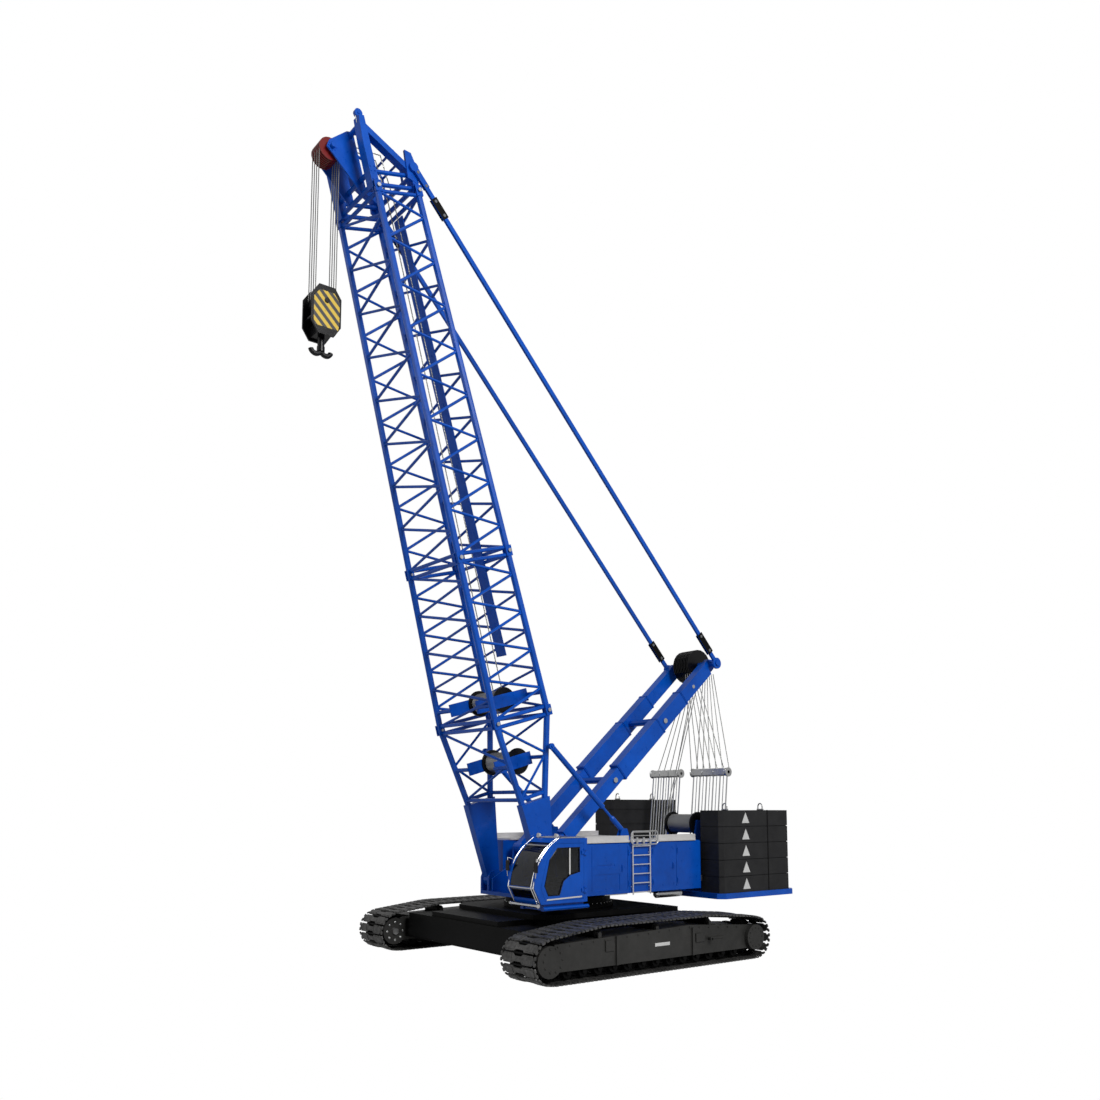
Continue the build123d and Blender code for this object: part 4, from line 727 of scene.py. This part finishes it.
def boom_corner(side, face, t):
    """A corner of the lattice, which tapers from 3.27 by 2.10 m at its foot to 2.48 by 1.49 m."""
    share = (t - section_ts[0]) / (section_ts[-1] - section_ts[0])
    return on_boom(side * (3.27 - 0.79 * share) / 2, 0.4 + face * (2.10 - 0.61 * share) / 2, t)


lugs = Piece("section_lugs")
lug_pins = Piece("section_pins")
for t in section_ts:
    for side in (-1, 1):
        for face in (-1, 1):
            corner = boom_corner(side, face, t)
            for x in (-0.085, 0.085):
                lugs.block(corner + across * x, (0.045, 0.235, 0.34), boom_turn)
            lugs.block(corner + boom_up * 0.16, (0.225, 0.225, 0.03), boom_turn)
            lugs.block(corner - boom_up * 0.16, (0.225, 0.225, 0.03), boom_turn)
            lug_pins.rod(corner - across * 0.16, corner + across * 0.16, 0.045, 16)
            lug_pins.rod(corner + across * side * 0.155, corner + across * side * 0.17, 0.062, 16)
lugs.ride("boom", blue_paint, "blue_paint", edge=0.006)
lug_pins.ride("boom", satin, "steel_rod")

# %% Head fittings and pendant links
loops = Piece("head_ropes")
bolts = Piece("head_bolts")
hub_radius = 0.105
bar_face = 1.24             # outer face of the head's crossbars
lug_n, lug_t = 1.15, 23.1   # where the pendants are pinned
for side in (-1, 1):
    hub = on_boom(side * 1.07, -0.33, 24.68)
    arc = [hub + (boom_back * math.cos(math.pi * k / 10) + boom_up * math.sin(math.pi * k / 10)) * hub_radius
           for k in range(11)]
    loops.pipe([arc[0] - boom_up * 0.35] + arc + [arc[-1] - boom_up * 0.30], 0.016, 8)
    bolts.rod(hub - across * 0.08, hub + across * 0.08, 0.045, 16)
    for t in (22.52, 22.92):
        for n in (-0.345, 1.145):
            corners = [on_boom(side * bar_face, n + a, t + b) for a in (-0.07, 0.07) for b in (-0.07, 0.07)]
            bolts.bolts(corners, (side, 0, 0), 0.045, 0.02)
    bolts.bolts([on_boom(side * 1.249, n, t) for _, n, t in ring_places(0, lug_n, lug_t, 0.12, 6)],
                (side, 0, 0), 0.035, 0.0015)
    bolts.bolts(ring_places(head_shaft.x + side * 0.446, head_shaft.y, head_shaft.z, 0.13, 8),
                (side, 0, 0), 0.035, 0.02)
loops.ride("boom", satin, "steel_rod")
bolts.ride("boom", blue_paint, "blue_paint")

pendant_x = 1.3
pendant_top = on_boom(0, lug_n, lug_t)
pendant_run = (mast_head - pendant_top).normalized()
pendant_turn = turn_to(pendant_run)
plates = Piece("pendant_plates")
clevises = Piece("pendant_clevises")
pendant_pins = Piece("pendant_pins")
for side in (-1, 1):
    for x in (side * pendant_x - 0.054, side * pendant_x + 0.054):
        plates.block(pendant_top + pendant_run * 0.42 + across * x, (0.014, 0.19, 0.62), pendant_turn)
        clevises.block(pendant_top + pendant_run * 1.42 + across * x, (0.016, 0.24, 0.70), pendant_turn)
        clevises.block(mast_head - pendant_run * 0.95 + across * x, (0.016, 0.26, 0.90), pendant_turn)
    pin_places = [(pendant_top + pendant_run * along, 0.05) for along in (0.20, 0.66, 1.18, 1.66)]
    pin_places += [(mast_head - pendant_run * along, 0.055) for along in (0.62, 1.28)]
    for here, radius in pin_places:
        middle = here + across * side * pendant_x
        pendant_pins.rod(middle - across * 0.072, middle + across * 0.072, radius, 16)
plates.ride("pendants", blue_paint, "blue_paint", edge=0.004)
clevises.ride("pendants", black_paint, "dark_frame", edge=0.004)
pendant_pins.ride("pendants", grey_paint, "grey_tube")

# %% [markdown]
# ## Mast, house and ring
# The mast is bolted up from box sections, so each step has a flange. The house wears handles, hinges
# and a handrail at the ladder, and a bright air tank hangs below it. Bolts ring the slewing bearing.

# %% Mast flanges
mast_foot = Vector((0, -0.95, 3.50))
mast_run = mast_head - mast_foot
mast_along = mast_run.normalized()
mast_turn = turn_to(mast_along)
beam_x = 0.92               # middle of each of its two beams
lip = 0.035                 # by how much a flange stands out, both sides together
flanges = Piece("mast_flanges")
mast_bolts = Piece("mast_bolts")
for side in (-1, 1):
    for share, wide, deep in ((0.38, 0.40, 0.62), (0.63, 0.40, 0.60), (0.79, 0.385, 0.55)):
        here = mast_foot + mast_run * share + across * side * beam_x
        flanges.block(here, (wide + lip, deep + lip, 0.03), mast_turn)
        flanges.block(here + mast_along * 0.045, (wide + lip, deep + lip, 0.03), mast_turn)
    for share in (0.34, 0.66):
        here = mast_foot + mast_run * share + across * side * beam_x
        mast_bolts.rod(here, here + across * side * 0.235, 0.075, 16)
        mast_bolts.rod(here + across * side * 0.225, here + across * side * 0.245, 0.10, 6)
    here = mast_foot + mast_run * 0.86 + across * side * 1.10
    mast_bolts.rod(here, here + across * side * 0.02, 0.07, 16)
flanges.ride("mast", blue_paint, "blue_paint", edge=0.005)
mast_bolts.ride("mast", chrome, "steel_rod")

# %% House fittings
handles = Piece("house_handles")
hinges = Piece("house_hinges")
for side in (-1, 1):
    face = side * 2.60
    for y in (0.72, 1.90, 3.05):
        handles.block((face + side * 0.010, y - 0.10, 2.92), (0.02, 0.06, 0.22))
        handles.rod((face + side * 0.022, y - 0.10, 2.84), (face + side * 0.022, y - 0.10, 3.0), 0.012, 8)
    for y in (0.90, 2.00, 3.15):
        for z in (2.42, 3.42):
            hinges.rod((face + side * 0.016, y, z - 0.09), (face + side * 0.016, y, z + 0.09), 0.016, 10)
            hinges.block((face + side * 0.005, y + 0.06, z), (0.010, 0.12, 0.12))
handles.ride("upperworks", blue_paint, "blue_paint")
hinges.ride("upperworks", blue_paint, "blue_paint", edge=0.003)

rails = Piece("ladder_rails")
rail_x = 2.71
loop = [(0.94, 3.74), (0.94, 4.03), (1.01, 4.10), (2.06, 4.10),
        (2.13, 4.03), (2.13, 3.74), (2.06, 3.67), (1.01, 3.67)]
rails.pipe([(rail_x, y, z) for y, z in loop], 0.024, 10, True)
rails.pipe([(rail_x, 1.01, 3.96), (rail_x, 2.06, 3.96)], 0.014, 8)
for y in (1.0, 2.07):
    rails.pipe([(rail_x, y, 3.90), (2.60, y, 3.90), (2.58, y, 3.78)], 0.018, 8)
for y in (1.20, 1.50, 1.80):
    rails.block((2.70, y, 3.80), (0.02, 0.08, 0.20))
rails.ride("upperworks", satin, "grey_tube")
bands = Piece("tread_bands")
for side in (-1, 1):
    for y_from, y_to in ((-0.90, 0.93), (2.15, 4.05)):
        bands.block((side * 2.588, (y_from + y_to) / 2, 3.885), (0.012, y_to - y_from, 0.17))
bands.ride("upperworks", tread_finish, "pale_tread")
sleeves = Piece("backstop_sleeves")
stay_foot = Vector((0, 1.30, 4.09))
stay_run = (on_boom(0, 1.1135, 4.25) - stay_foot).normalized()
for side in (-1, 1):
    start = stay_foot + across * side * 1.89
    sleeves.rod(start + stay_run * 0.12, start + stay_run * 0.66, 0.088, 20)
    sleeves.rod(start + stay_run * 0.66, start + stay_run * 0.72, 0.088, 20, tip=0.05)
sleeves.ride("backstop_rods", blue_paint, "blue_paint")
tank = Piece("air_tank")
tank_profile = [(0.0, 0.001), (0.03, 0.08), (0.09, 0.125), (1.21, 0.125), (1.27, 0.08), (1.30, 0.001)]
tank.lathe(tank_profile, (2.36, 2.26, 1.97), (0, 1, 0), 28)
for y in (2.50, 3.30):
    tank.block((2.36, y, 2.05), (0.10, 0.05, 0.10))
tank.block((2.45, 4.34, 2.44), (0.22, 0.09, 0.20)).block((2.46, 0.36, 2.085), (0.26, 0.98, 0.028))
tank.ride("upperworks", satin, "steel_rod", edge=0.003)

ring = Piece("ring_bolts")
ring_radius = 1.815
ring.bolts([(x, y, 1.74) for _, x, y in ring_places(0, 0, 0, ring_radius, 56)], (0, 0, 1), 0.028, 0.022)
for side in (-1, 1):
    face = side * 3.70
    ring.rod((face, *idler), (face - side * 0.07, *idler), 0.11, 20)
    for axle in (idler, sprocket):
        ring.bolts(ring_places(face, *axle, 0.30, 8), (-side, 0, 0), 0.05, 0.03)
ring.ride("undercarriage", satin, "steel_rod")

# %% [markdown]
# ## The cab
# Bright trims frame the big windscreen, a rail runs round the roof and a bumper tube guards the
# nose. They are bent tubes, so each is a list of the points that it goes through. Inside stands a
# cushioned seat with arm consoles.

# %% Cab trims
screen = [(-2.48, 3.962), (-2.72, 3.80), (-2.95, 3.62), (-3.10, 3.45), (-3.19, 3.34), (-3.29, 3.07),
          (-3.375, 2.80), (-3.45, 2.50), (-3.20, 2.03)]
trims = Piece("cab_trims")
for x in (1.90, 3.06, 3.17):
    trims.pipe([(x, y, z) for y, z in screen], 0.022, 10)
for y, z in ((-2.80, 3.745), (-3.455, 2.50)):
    trims.pipe([(1.90, y, z), (3.17, y, z)], 0.02, 10)
roof_corners = [(1.95, -2.40), (3.18, -2.40), (3.18, -1.48), (1.95, -1.48)]
trims.pipe([(x, y, 3.97) for x, y in roof_corners], 0.02, 10, True)
bumper = (-3.30, 1.98)      # y and z of the tube under the nose
trims.pipe([(1.86, *bumper), (3.20, *bumper)], 0.045, 14)
for x in (1.86, 3.20):
    trims.rod((x - 0.03, *bumper), (x + 0.03, *bumper), 0.06, 16)
trims.ride("upperworks", chrome, "steel_rod")

seal = Piece("door_seals")
window = [(-1.71, 2.94), (-2.08, 2.86), (-2.35, 2.68), (-2.50, 2.27), (-2.92, 2.27), (-3.06, 2.56),
          (-2.87, 3.33), (-2.57, 3.67), (-1.71, 3.67)]
seal.pipe([(3.233, y, z) for y, z in window], 0.014, 8, True)
seal.ride("door", gloss_black, "black_drum")
door_trim = Piece("door_trims")
door_trim.block((3.236, -2.10, 3.27), (0.014, 0.055, 0.80))
door_trim.block((3.233, -2.30, 2.165), (0.006, 1.36, 0.045), Matrix.Rotation(math.radians(1.5), 4, "X"))
door_trim.ride("door", white_paint, "pale_tread", edge=0.003)

# %% Mirrors and lamps
arms = Piece("mirror_arms")
for x, reach in ((1.80, -1), (3.22, 1)):
    arms.pipe([(x, -3.20, 3.30), (x + reach * 0.02, -3.38, 3.36), (x + reach * 0.02, -3.40, 2.95),
               (x, -3.40, 2.80)], 0.014, 8)
arms.ride("upperworks", satin, "steel_rod")
glasses = Piece("mirrors")
for x in (1.80, 3.24):
    glasses.block((x, -3.40, 3.12), (0.17, 0.04, 0.32))
glasses.ride("upperworks", gloss_black, "black_drum", edge=0.015)
lamps = Piece("work_lamps")
for place in ((2.10, -2.46, 4.03), (2.98, -2.46, 4.03), (0.95, -1.80, 3.05)):
    lamps.lathe([(0.0, 0.001), (0.0, 0.075), (0.09, 0.05), (0.12, 0.001)], place, (0, 1, 0), 20)
    lamps.rod(Vector(place) + Vector((0, 0.05, -0.09)), Vector(place) + Vector((0, 0.05, 0)), 0.015, 8)
lamps.ride("upperworks", white_paint, "pale_tread", edge=0.004)

# %% [markdown]
# ## The seat
# A plain box is never a seat: a cushion is crowned where it carries weight, its sides pull in
# between the corners and a welt runs round the seam. Each cushion starts as a grid on a rounded
# box, is pushed out by a dome that fades at the seam, and is smoothed by subdivision.

# %% Cushions
def cloth(wire, place):
    weave = wire.node("ShaderNodeTexChecker", {}, {"Vector": place, "Scale": 260.0}, 1)
    shade = noise(wire, place, 7.0)
    return {"Base Color": (weave * 0.35 + shade * 0.65).mix((0.016, 0.017, 0.020), (0.060, 0.062, 0.070)),
            "Roughness": shade * 0.15 + 0.78,
            "Normal": bump(wire, weave, 0.35, 0.0015)}


seat_finish = finish("woven seat cloth", cloth, {"Sheen Weight": 0.3})


def cushion(piece, centre, size, tilt, crown):
    """A crowned pad: a grid box whose faces dome outwards and whose sides pull in."""
    pad = bmesh.new()
    bmesh.ops.create_cube(pad, size=2.0)
    bmesh.ops.subdivide_edges(pad, edges=pad.edges[:], cuts=9, use_grid_fill=True)
    turn = Matrix.Translation(centre) @ Matrix.Rotation(tilt, 4, "X")
    for v in pad.verts:
        x, y, z = v.co
        dome = (1 - x ** 4) * (1 - y ** 4)
        channel = 1.0 - 0.35 * math.exp(-((abs(x) - 0.42) / 0.05) ** 2)
        pull = 1.0 - 0.06 * (1 - z * z)
        corner = 1.0 - 0.05 * (x * y) ** 4
        v.co = turn @ Vector((x * pull * corner * size[0] / 2, y * pull * corner * size[1] / 2,
                              z * size[2] / 2 * (0.66 + crown * dome * channel)))
    data = bpy.data.meshes.new("pad")
    pad.to_mesh(data)
    pad.free()
    piece.mesh.from_mesh(data)
    return piece


seat_low, seat_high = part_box("cab_seat")
seat_x = (seat_low.x + seat_high.x) / 2
seat = Piece("seat_cushions")
cushion(seat, (seat_x, -2.17, 2.545), (0.52, 0.56, 0.15), 0.0, 0.28)
cushion(seat, (seat_x, -1.815, 2.94), (0.50, 0.74, 0.15), math.radians(98.7), 0.28)
cushion(seat, (seat_x, -1.745, 3.27), (0.30, 0.16, 0.12), math.radians(98.7), 0.28)
seat_object = seat.ride("upperworks", seat_finish, "seat_cloth", hides=("cab_seat",), corner=80)
smooth = seat_object.modifiers.new("soft", "SUBSURF")
smooth.levels = smooth.render_levels = 1

base = Piece("seat_base")
base.block((seat_x, -2.17, 2.30), (0.36, 0.44, 0.34)).block((seat_x, -2.17, 2.10), (0.44, 0.50, 0.05))
for x in (-0.355, 0.355):
    base.block((seat_x + x, -2.24, 2.70), (0.12, 0.52, 0.12))
    base.rod((seat_x + x, -2.44, 2.76), (seat_x + x, -2.46, 2.90), 0.014, 8)
    base.rod((seat_x + x, -2.46, 2.90), (seat_x + x, -2.465, 2.94), 0.026, 12)
base.block((seat_x, -1.99, 2.58), (0.74, 0.06, 0.06))
base.ride("upperworks", gloss_black, "black_drum", edge=0.012)

# %% [markdown]
# ## Weights
# Each cast slab is marked with a pale arrow head that shows which way up it goes. The marks are
# thin plates. Shackles stand on the top slab, and a thin black strip down each stack is painted shade where a
# groove would be.

# %% Marks, shackles and painted groove shade
marks = Piece("slab_marks")
groove_shade_strips = Piece("slab_groove_shade")
stack_face = 3.4
slab_height = 0.572
for side in (1, -1):
    for k in range(5):
        z = 1.94 + slab_height * (k + 0.5)
        marks.plate([(-0.19, -0.18), (0.19, -0.18), (0.0, 0.19)], 0.012,
                    Matrix.Translation((side * stack_face, 5.75, z)) @ facing(side))
    # A thin black strip down each stack: painted shade where a groove would be, not a real groove.
    groove_shade_strips.block((side * stack_face, 6.93, 3.37), (0.012, 0.05, 2.84))
marks.ride("upperworks", white_paint, "pale_tread")
groove_shade_strips.ride("upperworks", black_paint, "dark_weight")

shackles = Piece("shackles")
for x, y, z in ((2.85, 5.3, 4.80), (2.85, 7.2, 4.80), (-2.85, 5.3, 5.20), (-2.85, 7.2, 5.20)):
    bow = [(x + 0.10 * math.cos(math.pi * k / 8), y, z + 0.10 + 0.12 * math.sin(math.pi * k / 8))
           for k in range(9)]
    shackles.pipe([(x + 0.10, y, z - 0.05)] + bow + [(x - 0.10, y, z - 0.05)], 0.022, 8)
    shackles.rod((x - 0.14, y, z), (x + 0.14, y, z), 0.028, 10)
shackles.ride("upperworks", satin, "steel_rod")

# %% [markdown]
# ## Hook block
# The cheeks of a hook block are striped so that nobody walks into it. The stripes are a finish: a
# ramp over a diagonal in metres, cut hard. Plates of it cover both cheeks.

# %% Striped cheeks
def stripes(wire, place):
    apart = wire.node("ShaderNodeSeparateXYZ", {}, {0: place}, 1)
    high = wire.node("ShaderNodeSeparateXYZ", {}, {0: place}, 2)
    bands = ((apart + high) * 3.1).maths("FRACT", (apart + high) * 3.1)
    chips = noise(wire, place, 14.0, 5.0)
    mask = (bands > 0.5) * (1.0 - (chips > 0.70))
    return {"Base Color": mask.mix((0.010, 0.010, 0.010), (0.75, 0.50, 0.02)),
            "Roughness": chips * 0.2 + 0.3}


stripe_finish = finish("safety stripes", stripes, {"Coat Weight": 0.2})
cheek_low, cheek_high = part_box("hook_block")
cheeks = Piece("striped_cheeks")
wide = (cheek_high.y - cheek_low.y) / 2
middle_y = (cheek_low.y + cheek_high.y) / 2
outline = [(-wide * 0.8, -0.55), (wide * 0.8, -0.55), (wide * 0.88, -0.35), (wide * 0.88, 0.35),
           (wide * 0.5, 0.60), (-wide * 0.5, 0.60), (-wide * 0.88, 0.35), (-wide * 0.88, -0.35)]
for side in (1, -1):
    cheeks.plate(outline, 0.006, Matrix.Translation((side * 0.3605, middle_y, 19.87)) @ facing(side))
cheeks.ride("hook_tackle", stripe_finish, "black_drum")

# %% The end
print("scene ready")
